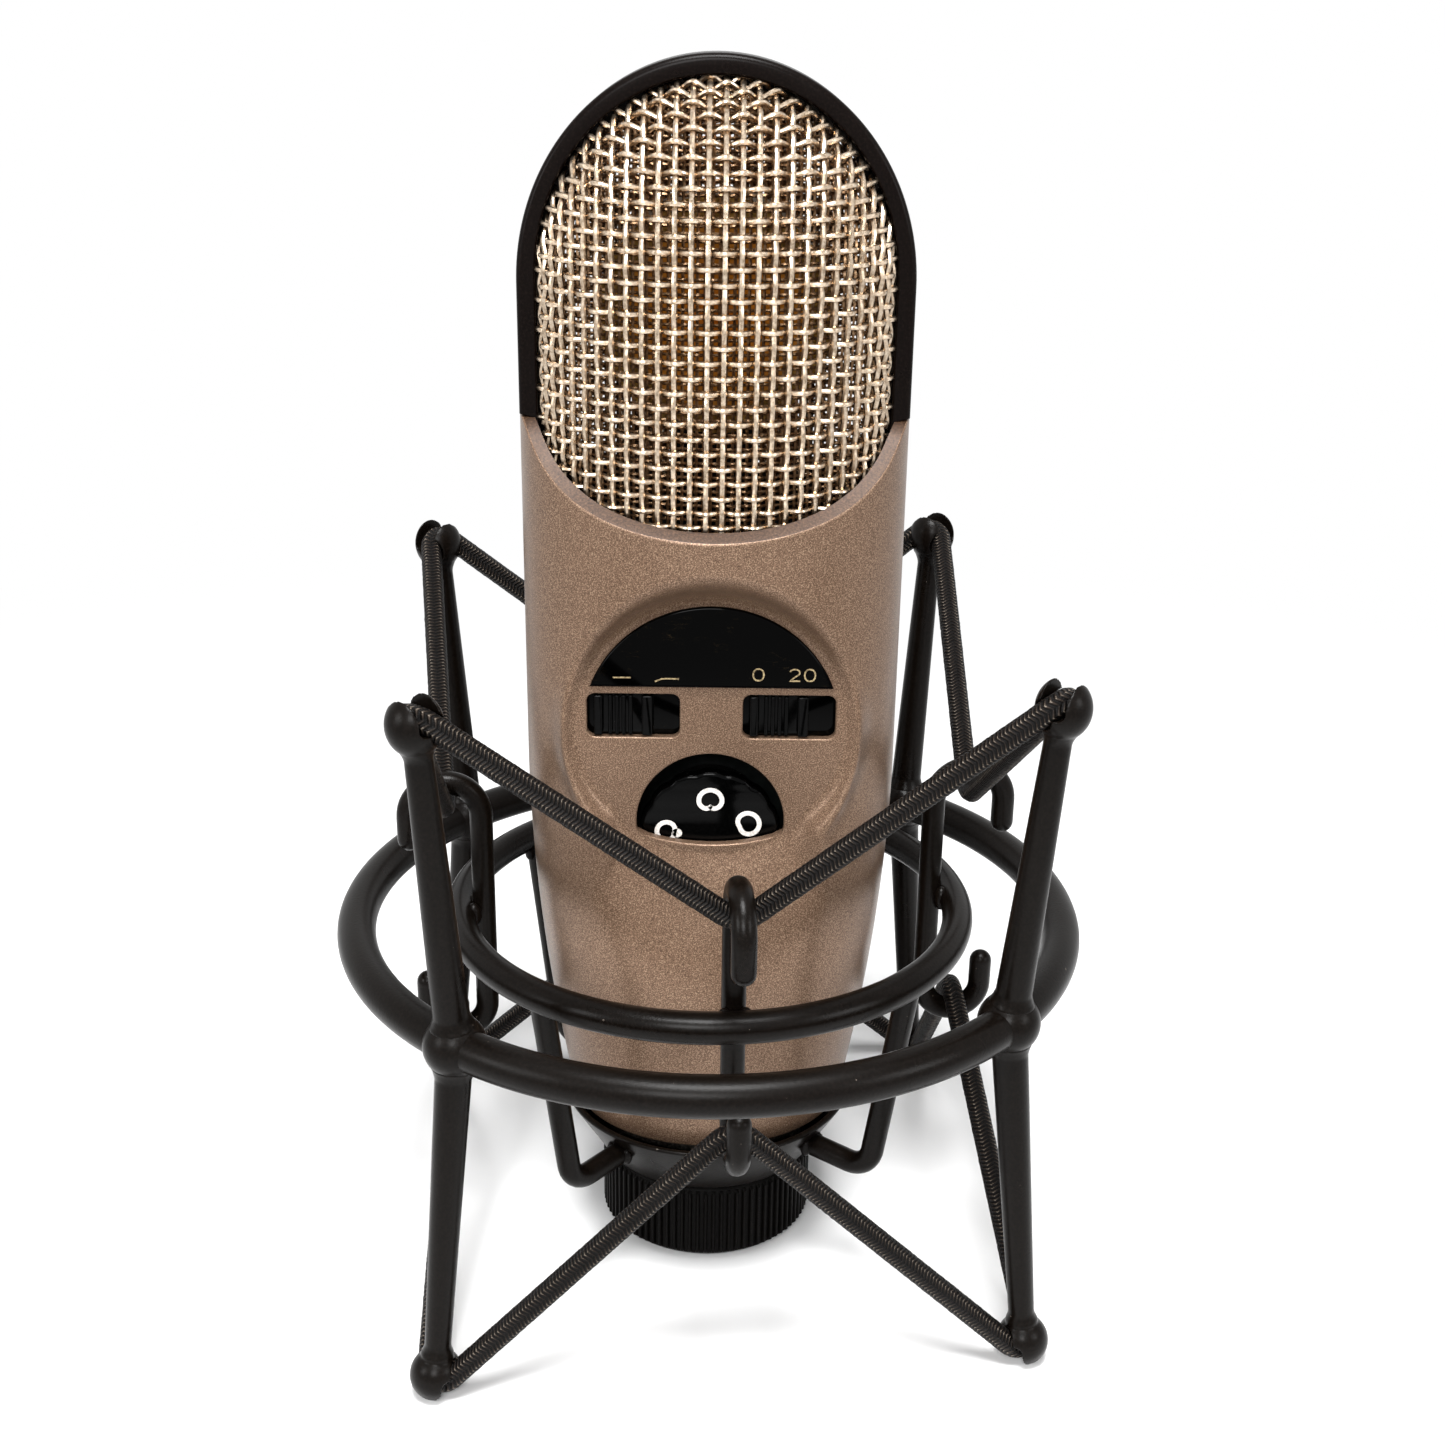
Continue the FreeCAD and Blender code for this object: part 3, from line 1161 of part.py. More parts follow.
def base():
    """Threaded tube, connector insert and pins, base screws."""
    collar = turned("base_collar_body", [
        ("socket_radius", "tube_bottom"),
        ("thread_radius", "tube_bottom"),
        ("thread_radius", "neck_bottom"),
        ("neck_radius", "neck_bottom"),
        ("neck_radius", "plate_bottom"),
        ("plate_radius", "plate_bottom"),
        ("plate_radius", "shell_bottom"),
        ("socket_radius", "shell_bottom")])
    heads = []
    holes = []
    for index, (x, y) in enumerate(screw_places()):
        holes.append(rod_z(f"plate_hole_{index}", "screw_radius", "0", FAR, x, y))
        heads.append(rod_z(f"screw_head_{index}", "screw_head", "plate_bottom - screw_radius",
                           "plate_bottom", x, y))
        heads.append(rod_z(f"screw_shank_{index}", "screw_radius", "plate_bottom",
                           "plate_bottom + screw_length", x, y))
    node(cut("base_collar_drilled", collar, holes), "base_collar")
    node(fuse("base_screws_group", heads), "base_screws")

    pins = []
    holes = []
    for index, angle in enumerate((-45, 45, 180)):
        place = (f"pin_circle * cos({angle} - 90)", f"pin_circle * sin({angle} - 90)")
        pins.append(rod_z(f"pin_{index}", "pin_radius", "pin_tip", "insert_face + pin_tail",
                          *place))
        holes.append(rod_z(f"pin_hole_{index}", "pin_radius", "0", "insert_face + pin_tail",
                           *place))
    disc = rod_z("insert_disc", "socket_radius", "insert_face",
                 "insert_face + insert_height")
    node(cut("xlr_insert_body", disc, holes), "inlet_insert")
    group = doc.addObject("Part::Compound", "inlet_pins_group")
    group.Links = pins
    node(group, "inlet_pins")


# ---------------------------------------------------------------------------------------
# Build, check and write
# ---------------------------------------------------------------------------------------
def check_document():
    """Stop on any object that failed to recompute and on any unsound sub-part."""
    for item in doc.Objects:
        if "Invalid" in item.State or "Error" in item.State:
            raise RuntimeError(f"{item.Name} failed: {item.State}")
    for item in NODES:
        if item.Shape.isNull() or not item.Shape.isValid():
            raise RuntimeError(f"{item.Label} has no sound shape")


def main():
    """Build the whole document and write one STEP file for each sub-part."""
    fill_sheet()
    paths = cord_paths()
    elastics(paths)
    outer_ring()
    posts_and_legs(paths)
    stand_lug()
    stand_adapter()
    cage()
    clamp_nut()
    shells()
    controls()
    head_band()
    grilles()
    capsule()
    chassis()
    base()
    doc.recompute()
    check_document()
    os.makedirs("parts", exist_ok=True)
    for item in NODES:
        item.Shape.exportStep(f"parts/{item.Label}.step")
    print(f"{len(NODES)} sub-parts written")


main()
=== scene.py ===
"""Side-address condenser microphone in its elastic spider mount.

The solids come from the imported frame.  This file gives them their finishes and models what the
eye sees: shells, wire cloth, cords, rods, controls and their marks.  Sizes are millimetres in
the object's own frame, with Z = 0 on the table and the microphone looking along -Y, and are
turned to metres when a mesh is made.
"""
import json
import logging
from collections.abc import Iterable, Sequence
from dataclasses import dataclass, field
from enum import Enum
from functools import cache
from math import acos, asin, atan2, copysign, cos, exp, hypot, pi, radians, sin, sqrt, tan

import bmesh
import bpy
import numpy as np
from bpy.types import ID, Material, Mesh, Node, NodeSocket, NodeTree, Object
from mathutils import Matrix, Vector


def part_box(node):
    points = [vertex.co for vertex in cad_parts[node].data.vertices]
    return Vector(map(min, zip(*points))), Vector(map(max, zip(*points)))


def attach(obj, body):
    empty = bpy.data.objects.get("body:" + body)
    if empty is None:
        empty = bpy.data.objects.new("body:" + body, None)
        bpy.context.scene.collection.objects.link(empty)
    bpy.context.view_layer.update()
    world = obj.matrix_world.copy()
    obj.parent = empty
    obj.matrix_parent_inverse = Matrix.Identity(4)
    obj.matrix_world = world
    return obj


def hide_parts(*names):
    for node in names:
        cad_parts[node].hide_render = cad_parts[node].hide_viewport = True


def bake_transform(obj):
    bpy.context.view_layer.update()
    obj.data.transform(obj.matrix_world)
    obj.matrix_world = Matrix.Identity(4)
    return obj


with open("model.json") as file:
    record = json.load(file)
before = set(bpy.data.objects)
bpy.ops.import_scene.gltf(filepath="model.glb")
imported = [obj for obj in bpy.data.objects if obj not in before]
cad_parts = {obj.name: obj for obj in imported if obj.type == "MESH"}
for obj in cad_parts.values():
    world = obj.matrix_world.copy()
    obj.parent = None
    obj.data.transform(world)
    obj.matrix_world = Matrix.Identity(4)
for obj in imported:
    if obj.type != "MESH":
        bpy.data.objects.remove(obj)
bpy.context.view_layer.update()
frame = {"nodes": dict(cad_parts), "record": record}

MM = 0.001
LOG = logging.getLogger("microphone")
Pair = tuple[float, float]
Triple = tuple[float, float, float]
Array = np.ndarray


# ---- Colours and nodes ----
def colour(code: str) -> tuple[float, float, float, float]:
    """Turn an sRGB hex code into linear RGBA.

    Args:
        code: Six hex digits.

    Returns:
        Linear red, green, blue and an alpha of one.
    """
    parts = [int(code[place:place + 2], 16) / 255.0 for place in (0, 2, 4)]
    linear = [part / 12.92 if part <= 0.04045 else ((part + 0.055) / 1.055) ** 2.4
              for part in parts]
    return (linear[0], linear[1], linear[2], 1.0)


def add(tree: NodeTree, kind: str, links: dict | None = None,
        values: dict | None = None, **settings) -> Node:
    """Add one node to a tree.

    Args:
        tree: Shader or geometry tree.
        kind: Type of the node.
        links: Input name or index to the socket that feeds it.
        values: Input name or index to a constant.
        **settings: Attributes of the node itself.

    Returns:
        The new node.
    """
    item = tree.nodes.new(kind)
    for name, value in settings.items():
        setattr(item, name, value)
    for name, value in (values or {}).items():
        item.inputs[name].default_value = value
    for name, socket in (links or {}).items():
        tree.links.new(socket, item.inputs[name])
    return item


def ramp(tree: NodeTree, source: NodeSocket, stops: Sequence[tuple[float, str]]) -> NodeSocket:
    """Colour ramp over a value.

    Args:
        tree: Shader tree.
        source: Value from nought to one.
        stops: Position and hex colour of each stop.

    Returns:
        The ramp's colour socket.
    """
    item = add(tree, "ShaderNodeValToRGB", {"Fac": source})
    band = item.color_ramp
    while len(band.elements) < len(stops):
        band.elements.new(0.5)
    for element, (place, code) in zip(band.elements, stops):
        element.position = place
        element.color = colour(code)
    return item.outputs["Color"]


@dataclass(frozen=True)
class Finish:
    """A real surface: what it is made of and how it was made.

    Subclasses add the pattern that the real surface shows.
    """

    name: str
    base: str
    metallic: float = 0.0
    roughness: float = 0.5
    specular: float = 0.5
    slot: str = ""

    def start(self) -> tuple[Material, NodeTree, Node]:
        """Make the material with its plain shader, and return it, its tree and the shader."""
        material = bpy.data.materials.new(self.name)
        material.use_nodes = True
        tree = material.node_tree
        shader = tree.nodes["Principled BSDF"]
        shader.inputs["Base Color"].default_value = colour(self.base)
        shader.inputs["Metallic"].default_value = self.metallic
        shader.inputs["Roughness"].default_value = self.roughness
        shader.inputs["Specular IOR Level"].default_value = self.specular
        material.diffuse_color = colour(self.base)
        return material, tree, shader

    def build(self) -> Material:
        """Return the finished material."""
        return self.start()[0]


def grain(tree: NodeTree, size: float, detail: float = 2.0,
          stretch: Triple = (1.0, 1.0, 1.0)) -> Node:
    """Noise whose blotches are about `size` millimetres across.

    Args:
        tree: Shader tree.
        size: Grain size in millimetres.
        detail: Octaves of finer noise.
        stretch: Scale of the pattern along each axis.

    Returns:
        The noise node.
    """
    place = add(tree, "ShaderNodeTexCoord").outputs["Object"]
    scaled = add(tree, "ShaderNodeMapping", {"Vector": place}, {"Scale": stretch})
    return add(tree, "ShaderNodeTexNoise", {"Vector": scaled.outputs["Vector"]},
               {"Scale": 1.0 / (size * MM), "Detail": detail, "Roughness": 0.6})


def bump(tree: NodeTree, shader: Node, height: NodeSocket, depth: float) -> None:
    """Give a shader a bump of `depth` millimetres."""
    relief = add(tree, "ShaderNodeBump", {"Height": height}, {"Distance": depth * MM})
    tree.links.new(relief.outputs["Normal"], shader.inputs["Normal"])


@dataclass(frozen=True)
class SpeckledFinish(Finish):
    """Surface with a fine grain in its colour and relief, and a slow drift of its gloss.

    The grain is drawn a little coarser than it is, so that it shows at arm's length.
    """

    light: str = "FFFFFF"
    dark: str = "000000"
    grain_size: float = 0.25
    depth: float = 0.01
    spread: float = 0.1

    def build(self) -> Material:
        """Return the finished material."""
        material, tree, shader = self.start()
        fine = grain(tree, self.grain_size)
        slow = grain(tree, 40.0 * self.grain_size, 3.0)
        tone = add(tree, "ShaderNodeMapRange", {"Value": fine.outputs["Fac"]},
                   {"From Min": 0.3, "From Max": 0.7})
        stops = ((0.0, self.dark), (0.5, self.base), (1.0, self.light))
        tree.links.new(ramp(tree, tone.outputs["Result"], stops), shader.inputs["Base Color"])
        rough = add(tree, "ShaderNodeMapRange", {"Value": slow.outputs["Fac"]},
                    {"From Min": 0.3, "From Max": 0.7,
                     "To Min": self.roughness - self.spread / 2,
                     "To Max": self.roughness + self.spread / 2})
        tree.links.new(rough.outputs["Result"], shader.inputs["Roughness"])
        bump(tree, shader, fine.outputs["Fac"], self.depth)
        return material


@dataclass(frozen=True)
class PowderCoat(SpeckledFinish):
    """Satin black powder coat: fine orange peel, and bare or dusty specks where it was knocked."""

    chip: str = "6E655C"

    def build(self) -> Material:
        """Return the finished material."""
        material = super().build()
        tree = material.node_tree
        shader = tree.nodes["Principled BSDF"]
        base = shader.inputs["Base Color"].links[0].from_socket
        specks = grain(tree, 0.9, 4.0)
        mask = add(tree, "ShaderNodeMapRange", {"Value": specks.outputs["Fac"]},
                   {"From Min": 0.745, "From Max": 0.76})
        mixed = add(tree, "ShaderNodeMix", {0: mask.outputs["Result"], 6: base},
                    {7: colour(self.chip)}, data_type="RGBA")
        tree.links.new(mixed.outputs[2], shader.inputs["Base Color"])
        return material


@dataclass(frozen=True)
class ScratchedGloss(Finish):
    """Gloss black moulding with hairline scratches and dust in them."""

    scratch: str = "5A4A30"
    amount: float = 0.03

    def build(self) -> Material:
        """Return the finished material."""
        material, tree, shader = self.start()
        lines = grain(tree, 2.2, 5.0, stretch=(0.35, 1.0, 1.6))
        away = add(tree, "ShaderNodeMath", {0: lines.outputs["Fac"]}, {1: 0.5},
                   operation="SUBTRACT")
        near = add(tree, "ShaderNodeMath", {0: away.outputs["Value"]}, operation="ABSOLUTE")
        thin = add(tree, "ShaderNodeMapRange", {"Value": near.outputs["Value"]},
                   {"From Min": 0.0, "From Max": 0.0022, "To Min": 1.0, "To Max": 0.0})
        where = add(tree, "ShaderNodeMapRange", {"Value": grain(tree, 5.0).outputs["Fac"]},
                    {"From Min": 0.55, "From Max": 0.7, "To Max": self.amount * 20})
        mask = add(tree, "ShaderNodeMath", {0: thin.outputs["Result"],
                                            1: where.outputs["Result"]}, operation="MULTIPLY")
        mixed = add(tree, "ShaderNodeMix", {0: mask.outputs["Value"]},
                    {6: colour(self.base), 7: colour(self.scratch)}, data_type="RGBA")
        tree.links.new(mixed.outputs[2], shader.inputs["Base Color"])
        rough = add(tree, "ShaderNodeMapRange", {"Value": mask.outputs["Value"]},
                    {"To Min": self.roughness, "To Max": 0.55})
        tree.links.new(rough.outputs["Result"], shader.inputs["Roughness"])
        return material


@dataclass(frozen=True)
class Braid(Finish):
    """Braided sleeve of an elastic cord: slanting yarns, lighter towards their raised tops as a
    painted sheen, and palest at the highest points, which are partly pale fibres and partly
    painted glints.

    The piece's UV map runs once round the cord in U and in millimetres along it in V.
    """

    yarn: str = "0B0807"
    painted_sheen: str = "2E2620"
    fibre_and_glint: str = "8C8276"
    pitch: float = 0.62
    rows: float = 5.0
    lean: float = 1.5
    depth: float = 0.16

    def build(self) -> Material:
        """Return the finished material."""
        material, tree, shader = self.start()
        place = add(tree, "ShaderNodeTexCoord").outputs["UV"]
        split = add(tree, "ShaderNodeSeparateXYZ", {"Vector": place})
        turn = add(tree, "ShaderNodeMath", {0: split.outputs["X"]}, {1: self.rows},
                   operation="MULTIPLY").outputs["Value"]
        row = add(tree, "ShaderNodeMath", {0: turn}, {1: 0.5},
                  operation="PINGPONG").outputs["Value"]
        along = add(tree, "ShaderNodeMath", {0: split.outputs["Y"]},
                    {1: 2 * pi / self.pitch}, operation="MULTIPLY").outputs["Value"]
        slant = add(tree, "ShaderNodeMath", {0: row, 2: along},
                    {1: 2 * pi * self.lean}, operation="MULTIPLY_ADD")
        wave = add(tree, "ShaderNodeMath", {0: slant.outputs["Value"]},
                   operation="SINE").outputs["Value"]
        stretch = add(tree, "ShaderNodeMapping", {"Vector": place}, {"Scale": (60.0, 3.2, 1.0)})
        fibres = add(tree, "ShaderNodeTexNoise", {"Vector": stretch.outputs["Vector"]},
                     {"Scale": 1.0, "Detail": 3.0}).outputs["Fac"]
        yarns = add(tree, "ShaderNodeMath", {0: row, 2: wave}, {1: 2.4},
                    operation="MULTIPLY_ADD").outputs["Value"]
        height = add(tree, "ShaderNodeMath", {0: fibres, 2: yarns}, {1: 1.6},
                     operation="MULTIPLY_ADD").outputs["Value"]
        tone = add(tree, "ShaderNodeMapRange", {"Value": height},
                   {"From Min": 0.2, "From Max": 3.2})
        # Colour follows the height of the yarns: painted sheen on their raised tops, and at the
        # highest points pale fibres mixed with painted glints.
        stops = ((0.0, self.base), (0.5, self.yarn), (0.8, self.painted_sheen), (1.0, self.fibre_and_glint))
        tree.links.new(ramp(tree, tone.outputs["Result"], stops), shader.inputs["Base Color"])
        bump(tree, shader, height, self.depth)
        return material


@dataclass(frozen=True)
class Film(Finish):
    """Gold film on a stretched diaphragm, with a painted glow: the film itself emits red at its
    middle and amber further out, though it is no lamp.
    """

    painted_glow: str = "7A1606"
    painted_amber_glow: str = "9A5A18"
    radius: float = 15.0
    strength: float = 0.3

    def build(self) -> Material:
        """Return the finished material."""
        material, tree, shader = self.start()
        low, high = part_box("capsule_body")
        middle = (Vector(low) + Vector(high)) / 2
        place = add(tree, "ShaderNodeTexCoord")
        away = add(tree, "ShaderNodeVectorMath", {0: place.outputs["Object"]},
                   {1: tuple(middle)}, operation="DISTANCE")
        share = add(tree, "ShaderNodeMapRange", {"Value": away.outputs["Value"]},
                    {"From Min": 0.1 * self.radius * MM, "From Max": self.radius * MM})
        # Painted glow: the same ramp colours the film and makes it emit light, red at the middle
        # and amber further out.
        stops = ((0.0, self.painted_glow), (0.35, self.painted_amber_glow), (1.0, self.base))
        shade = ramp(tree, share.outputs["Result"], stops)
        tree.links.new(shade, shader.inputs["Base Color"])
        tree.links.new(shade, shader.inputs["Emission Color"])
        shader.inputs["Emission Strength"].default_value = self.strength
        return material


class Finishes(Enum):
    """Every finish of the object."""

    # Metallic flake lacquer in champagne over aluminium: satin, with a fine sparkle.
    SHELL = SpeckledFinish("champagne_flake_lacquer", "654E3E", 0.35, 0.33, 0.26,
                           "champagne", light="98806A", dark="423225", grain_size=0.17,
                           depth=0.012, spread=0.06)
    # The milled mouth of the shell, dark and dull: its dark colour is painted shade where the
    # cloth meets the shell.
    SHADED_LIP = SpeckledFinish("lip_painted_shade", "3A291D", 0.2, 0.42, 0.2, "champagne",
                         light="4B3728", dark="271A12", grain_size=0.3, depth=0.006)
    # Black satin lacquer on the cast band: almost smooth, with soft long highlights.
    BAND = SpeckledFinish("black_satin_lacquer", "080403", 0.0, 0.3, 0.06, "band_black",
                          light="0F0A08", dark="050302", grain_size=0.35, depth=0.004)
    # Powder coat on bent steel rod.
    COAT = PowderCoat("black_powder_coat", "090604", 0.0, 0.3, 0.09, "mount_black",
                      light="0E0A08", dark="050302", grain_size=0.45, depth=0.02, spread=0.1)
    # Nickel silver wire, drawn and plated: warm, bright along the top of each wire.
    WIRE = SpeckledFinish("plated_wire", "BFAC96", 1.0, 0.28, slot="cloth",
                          light="D6C6B2", dark="927F6A", grain_size=0.5, depth=0.004)
    # The finer cloth behind it: the same wire, with its shadow painted into a darker colour.
    FINE_WIRE = SpeckledFinish("fine_wire_painted_shade", "80664C", 1.0, 0.4, slot="cloth",
                               light="9C8268", dark="543F2C", grain_size=0.5, depth=0.002)
    # Braided polyester sleeve over rubber, with a painted sheen and painted glints on its yarns.
    CORD = Braid("braided_elastic", "030202", 0.0, 0.5, 0.12, "elastic")
    # Ribbed nylon nut: dull, with a little dust in the ribs.
    NYLON = PowderCoat("black_nylon", "060504", 0.0, 0.42, 0.05, "black_plastic",
                       light="0E0C0B", dark="040303", grain_size=0.4, depth=0.012,
                       spread=0.1, chip="8F8A84")
    # Polished ABS with handling marks.
    GLOSS = ScratchedGloss("black_polished_abs", "010101", 0.0, 0.07, 0.045, "gloss_black")
    # Polished ABS of the pattern knob and the sliders, a shade greyer than the badge.
    KNOB = SpeckledFinish("black_abs", "020202", 0.0, 0.1, 0.07, "gloss_black",
                          light="040404", dark="010101", grain_size=0.5, depth=0.002)
    # Pad-printed ink, opaque white and a worn gold.
    WHITE_INK = SpeckledFinish("white_ink", "D9D4CF", 0.0, 0.5, slot="gloss_black",
                               light="E8E5E0", dark="BDB7B0", grain_size=0.4, depth=0.003)
    GOLD_INK = SpeckledFinish("worn_gold_ink", "8A7856", 0.2, 0.45, slot="gloss_black",
                              light="AE9C74", dark="54462C", grain_size=0.35, depth=0.003)
    # Gold vapour on polyester film, with a painted red glow that the film emits at its middle.
    FILM = Film("gold_film", "8A5A22", 0.9, 0.3, slot="gold_film")
    # Turned brass of the capsule and the thread insert.
    BRASS = SpeckledFinish("turned_brass", "8E6C38", 1.0, 0.34, slot="brass",
                           light="B08C52", dark="644A22", grain_size=0.6, depth=0.006)
    # Nickel-plated steel: screws, pins, threaded tube and chassis.
    STEEL = SpeckledFinish("nickel_plated_steel", "8F8A84", 1.0, 0.3, slot="steel",
                           light="B0ABA4", dark="68645F", grain_size=0.5, depth=0.004)
    # Pressed wool felt.
    FELT = SpeckledFinish("black_felt", "12100F", 0.0, 0.95, 0.2, "felt", light="22201E",
                          dark="080707", grain_size=0.4, depth=0.15)
    # Black solder mask on glass fibre board.
    BOARD = SpeckledFinish("black_board", "0E100F", 0.0, 0.4, 0.3, "board",
                           light="161A18", dark="080A09", grain_size=1.5, depth=0.01)


@cache
def material_of(finish: Finishes) -> Material:
    """Return a finish's material, built once."""
    return finish.value.build()


# ---- Places read from the frame ----
@dataclass(frozen=True)
class Place:
    """The microphone's axis and the turn of the mount about it."""

    axis_y: float
    turn: float

    @classmethod
    def from_frame(cls) -> "Place":
        """Read both from the solids of the base and of one hook."""
        low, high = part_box("base_collar")
        axis_y = (low.y + high.y) / 2 / MM
        low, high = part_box("hook_right")
        middle = (low + high) / 2 / MM
        return cls(axis_y, atan2(middle.y - axis_y, middle.x))

    def polar(self, radius: float, azimuth: float, height: float) -> Array:
        """Point of the mount at an azimuth in degrees."""
        angle = self.turn + radians(azimuth)
        return np.array((radius * cos(angle), self.axis_y + radius * sin(angle), height))

    def outward(self, azimuth: float) -> Array:
        """Horizontal unit vector of the mount at an azimuth in degrees."""
        angle = self.turn + radians(azimuth)
        return np.array((cos(angle), sin(angle), 0.0))


PLACE = Place.from_frame()
CORNERS = {"front_right": -45, "rear_right": 45, "rear_left": 135, "front_left": 225}
SIDES = {"front": -90, "right": 0, "rear": 90, "left": 180}
UP = np.array((0.0, 0.0, 1.0))


def unit(vector: Array) -> Array:
    """Vector of length one in the same direction, or each row of an array as one."""
    return vector / np.linalg.norm(vector, axis=-1, keepdims=True)


# ---- Mesh building ----
@dataclass
class Form:
    """Points and faces of one piece, in millimetres about the microphone's axis."""

    points: list[Array] = field(default_factory=list)
    faces: list[tuple[int, ...]] = field(default_factory=list)
    kinds: list[int] = field(default_factory=list)
    count: int = 0

    def place(self, points: Array) -> int:
        """Add points and return the index of the first."""
        start = self.count
        self.points.append(np.asarray(points, float).reshape(-1, 3))
        self.count += len(self.points[-1])
        return start

    def grid(self, points: Array, close_rows: bool = False, close_columns: bool = False,
             kinds: Array | int = 0, capped: bool = False) -> Array:
        """Add a grid of quads.

        Args:
            points: Array of rows by columns by 3.
            close_rows: Join the last row to the first.
            close_columns: Join the last column to the first.
            kinds: Finish index of the faces, one for all or an array by row and column.
            capped: Close the first and the last row with one face each.

        Returns:
            Indices of the points, rows by columns.
        """
        rows, columns = points.shape[:2]
        index = self.place(points) + np.arange(rows * columns).reshape(rows, columns)
        below, right = np.roll(index, -1, 0), np.roll(index, -1, 1)
        faces = np.stack((index, right, np.roll(below, -1, 1), below), axis=-1)
        faces = faces[:rows - (not close_rows), :columns - (not close_columns)]
        self.faces += [tuple(face) for face in faces.reshape(-1, 4).tolist()]
        self.kinds += np.broadcast_to(kinds, faces.shape[:2]).reshape(-1).tolist()
        if capped:
            self.cap(index[0])
            self.cap(index[-1])
        return index

    def cap(self, ring: Iterable[int]) -> None:
        """Close a ring of points with one face."""
        self.faces.append(tuple(int(item) for item in ring))
        self.kinds.append(0)

    def mesh(self, name: str) -> Mesh:
        """Make the mesh in metres, in the object's frame, with its faces outwards."""
        mesh = bpy.data.meshes.new(name)
        points = np.concatenate(self.points) * MM
        points[:, 1] += PLACE.axis_y * MM
        mesh.from_pydata(points.tolist(), [], self.faces)
        mesh.polygons.foreach_set("material_index", self.kinds)
        return tidy(mesh)


def tidy(mesh: Mesh, angle: float = 38.0, gap: float = 1e-6) -> Mesh:
    """Merge doubles, turn faces outwards and shade the mesh.

    Args:
        mesh: Mesh in metres.
        angle: Largest smooth angle in degrees.
        gap: Distance of doubles in metres.

    Returns:
        The same mesh.
    """
    work = bmesh.new()
    work.from_mesh(mesh)
    bmesh.ops.remove_doubles(work, verts=work.verts, dist=gap)
    bmesh.ops.dissolve_degenerate(work, edges=work.edges, dist=gap / 10)
    bmesh.ops.recalc_face_normals(work, faces=work.faces)
    work.to_mesh(mesh)
    work.free()
    return shaded(mesh, angle)


def shaded(mesh: Mesh, angle: float = 38.0) -> Mesh:
    """Shade a mesh smooth up to an angle in degrees, and return it."""
    mesh.shade_smooth()
    mesh.set_sharp_from_angle(angle=radians(angle))
    return mesh


def placed(name: str, data: ID) -> Object:
    """Put a mesh, curve, lamp or camera in the scene and return its object."""
    item = bpy.data.objects.new(name, data)
    bpy.context.collection.objects.link(item)
    return item


def baked(carrier: Object) -> Mesh:
    """Plain mesh of an object as its modifiers leave it.

    Args:
        carrier: Object that carries the modifiers or the curve, which is used up.

    Returns:
        The plain mesh.
    """
    data = carrier.data
    bpy.context.view_layer.update()
    graph = bpy.context.evaluated_depsgraph_get()
    result = bpy.data.meshes.new_from_object(carrier.evaluated_get(graph))
    bpy.data.objects.remove(carrier)
    store = bpy.data.meshes if isinstance(data, Mesh) else bpy.data.curves
    store.remove(data)
    return result


def piece(name: str, mesh: Mesh, finishes: Sequence[Finishes], body: str,
          nodes: Sequence[str] = ()) -> Object:
    """Turn a mesh into a piece of the object.

    Args:
        name: Name of the piece.
        mesh: Mesh in metres in the object's frame.
        finishes: Finish of each material index.
        body: Body that it rides on, or an empty word to leave it on no body.
        nodes: Solids that it stands for.

    Returns:
        The piece.
    """
    item = placed(name, mesh)
    kinds = np.zeros(len(mesh.polygons), int)
    mesh.polygons.foreach_get("material_index", kinds)
    mesh.materials.clear()
    for finish in finishes:
        mesh.materials.append(material_of(finish))
    mesh.polygons.foreach_set("material_index", kinds)
    if nodes:
        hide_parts(*nodes)
    if body:
        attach(item, body)
    LOG.info("%s: %d faces on %s", name, len(mesh.polygons), body or "two bodies")
    return item


def joined(name: str, meshes: Sequence[Mesh]) -> Mesh:
    """Gather several meshes into one, keeping their material indices.

    Args:
        name: Name of the result.
        meshes: Meshes that go in, which are used up.

    Returns:
        The one mesh.
    """
    work = bmesh.new()
    for mesh in meshes:
        work.from_mesh(mesh)
    result = bpy.data.meshes.new(name)
    work.to_mesh(result)
    work.free()
    for mesh in meshes:
        bpy.data.meshes.remove(mesh)
    return shaded(result)


def rounded(corners: Sequence[Triple], steps: int = 4) -> list[Array]:
    """Outline with rounded corners.

    Args:
        corners: Two coordinates and the radius of each corner.
        steps: Segments of each arc.

    Returns:
        Points of the closed outline.
    """
    result = []
    count = len(corners)
    for index, (x, y, radius) in enumerate(corners):
        here = np.array((x, y), float)
        last = np.array(corners[index - 1][:2], float)
        following = np.array(corners[(index + 1) % count][:2], float)
        if radius <= 0:
            result.append(here)
            continue
        back, ahead = unit(last - here), unit(following - here)
        half = acos(max(-1.0, min(1.0, float(back @ ahead)))) / 2
        reach = min(radius / tan(half), 0.49 * np.linalg.norm(last - here),
                    0.49 * np.linalg.norm(following - here))
        true_radius = reach * tan(half)
        centre = here + unit(back + ahead) * (true_radius / sin(half))
        start, end = here + back * reach - centre, here + ahead * reach - centre
        first = atan2(start[1], start[0])
        sweep = (atan2(end[1], end[0]) - first + pi) % (2 * pi) - pi
        for step in range(steps + 1):
            angle = first + sweep * step / steps
            result.append(centre + true_radius * np.array((cos(angle), sin(angle))))
    return result


def rectangle(left: float, right: float, low: float, high: float, corner: float,
              steps: int) -> list[Array]:
    """Outline of a rectangle with rounded corners."""
    return rounded([(left, low, corner), (right, low, corner), (right, high, corner),
                    (left, high, corner)], steps)


def circle(count: int) -> Array:
    """Angles of `count` even steps round a full turn."""
    return np.arange(count) * 2 * pi / count


def face_point(radius: float, angle: float, height: float) -> Array:
    """Point of x and height on a circle that faces the front."""
    return np.array((radius * cos(angle), height + radius * sin(angle)))


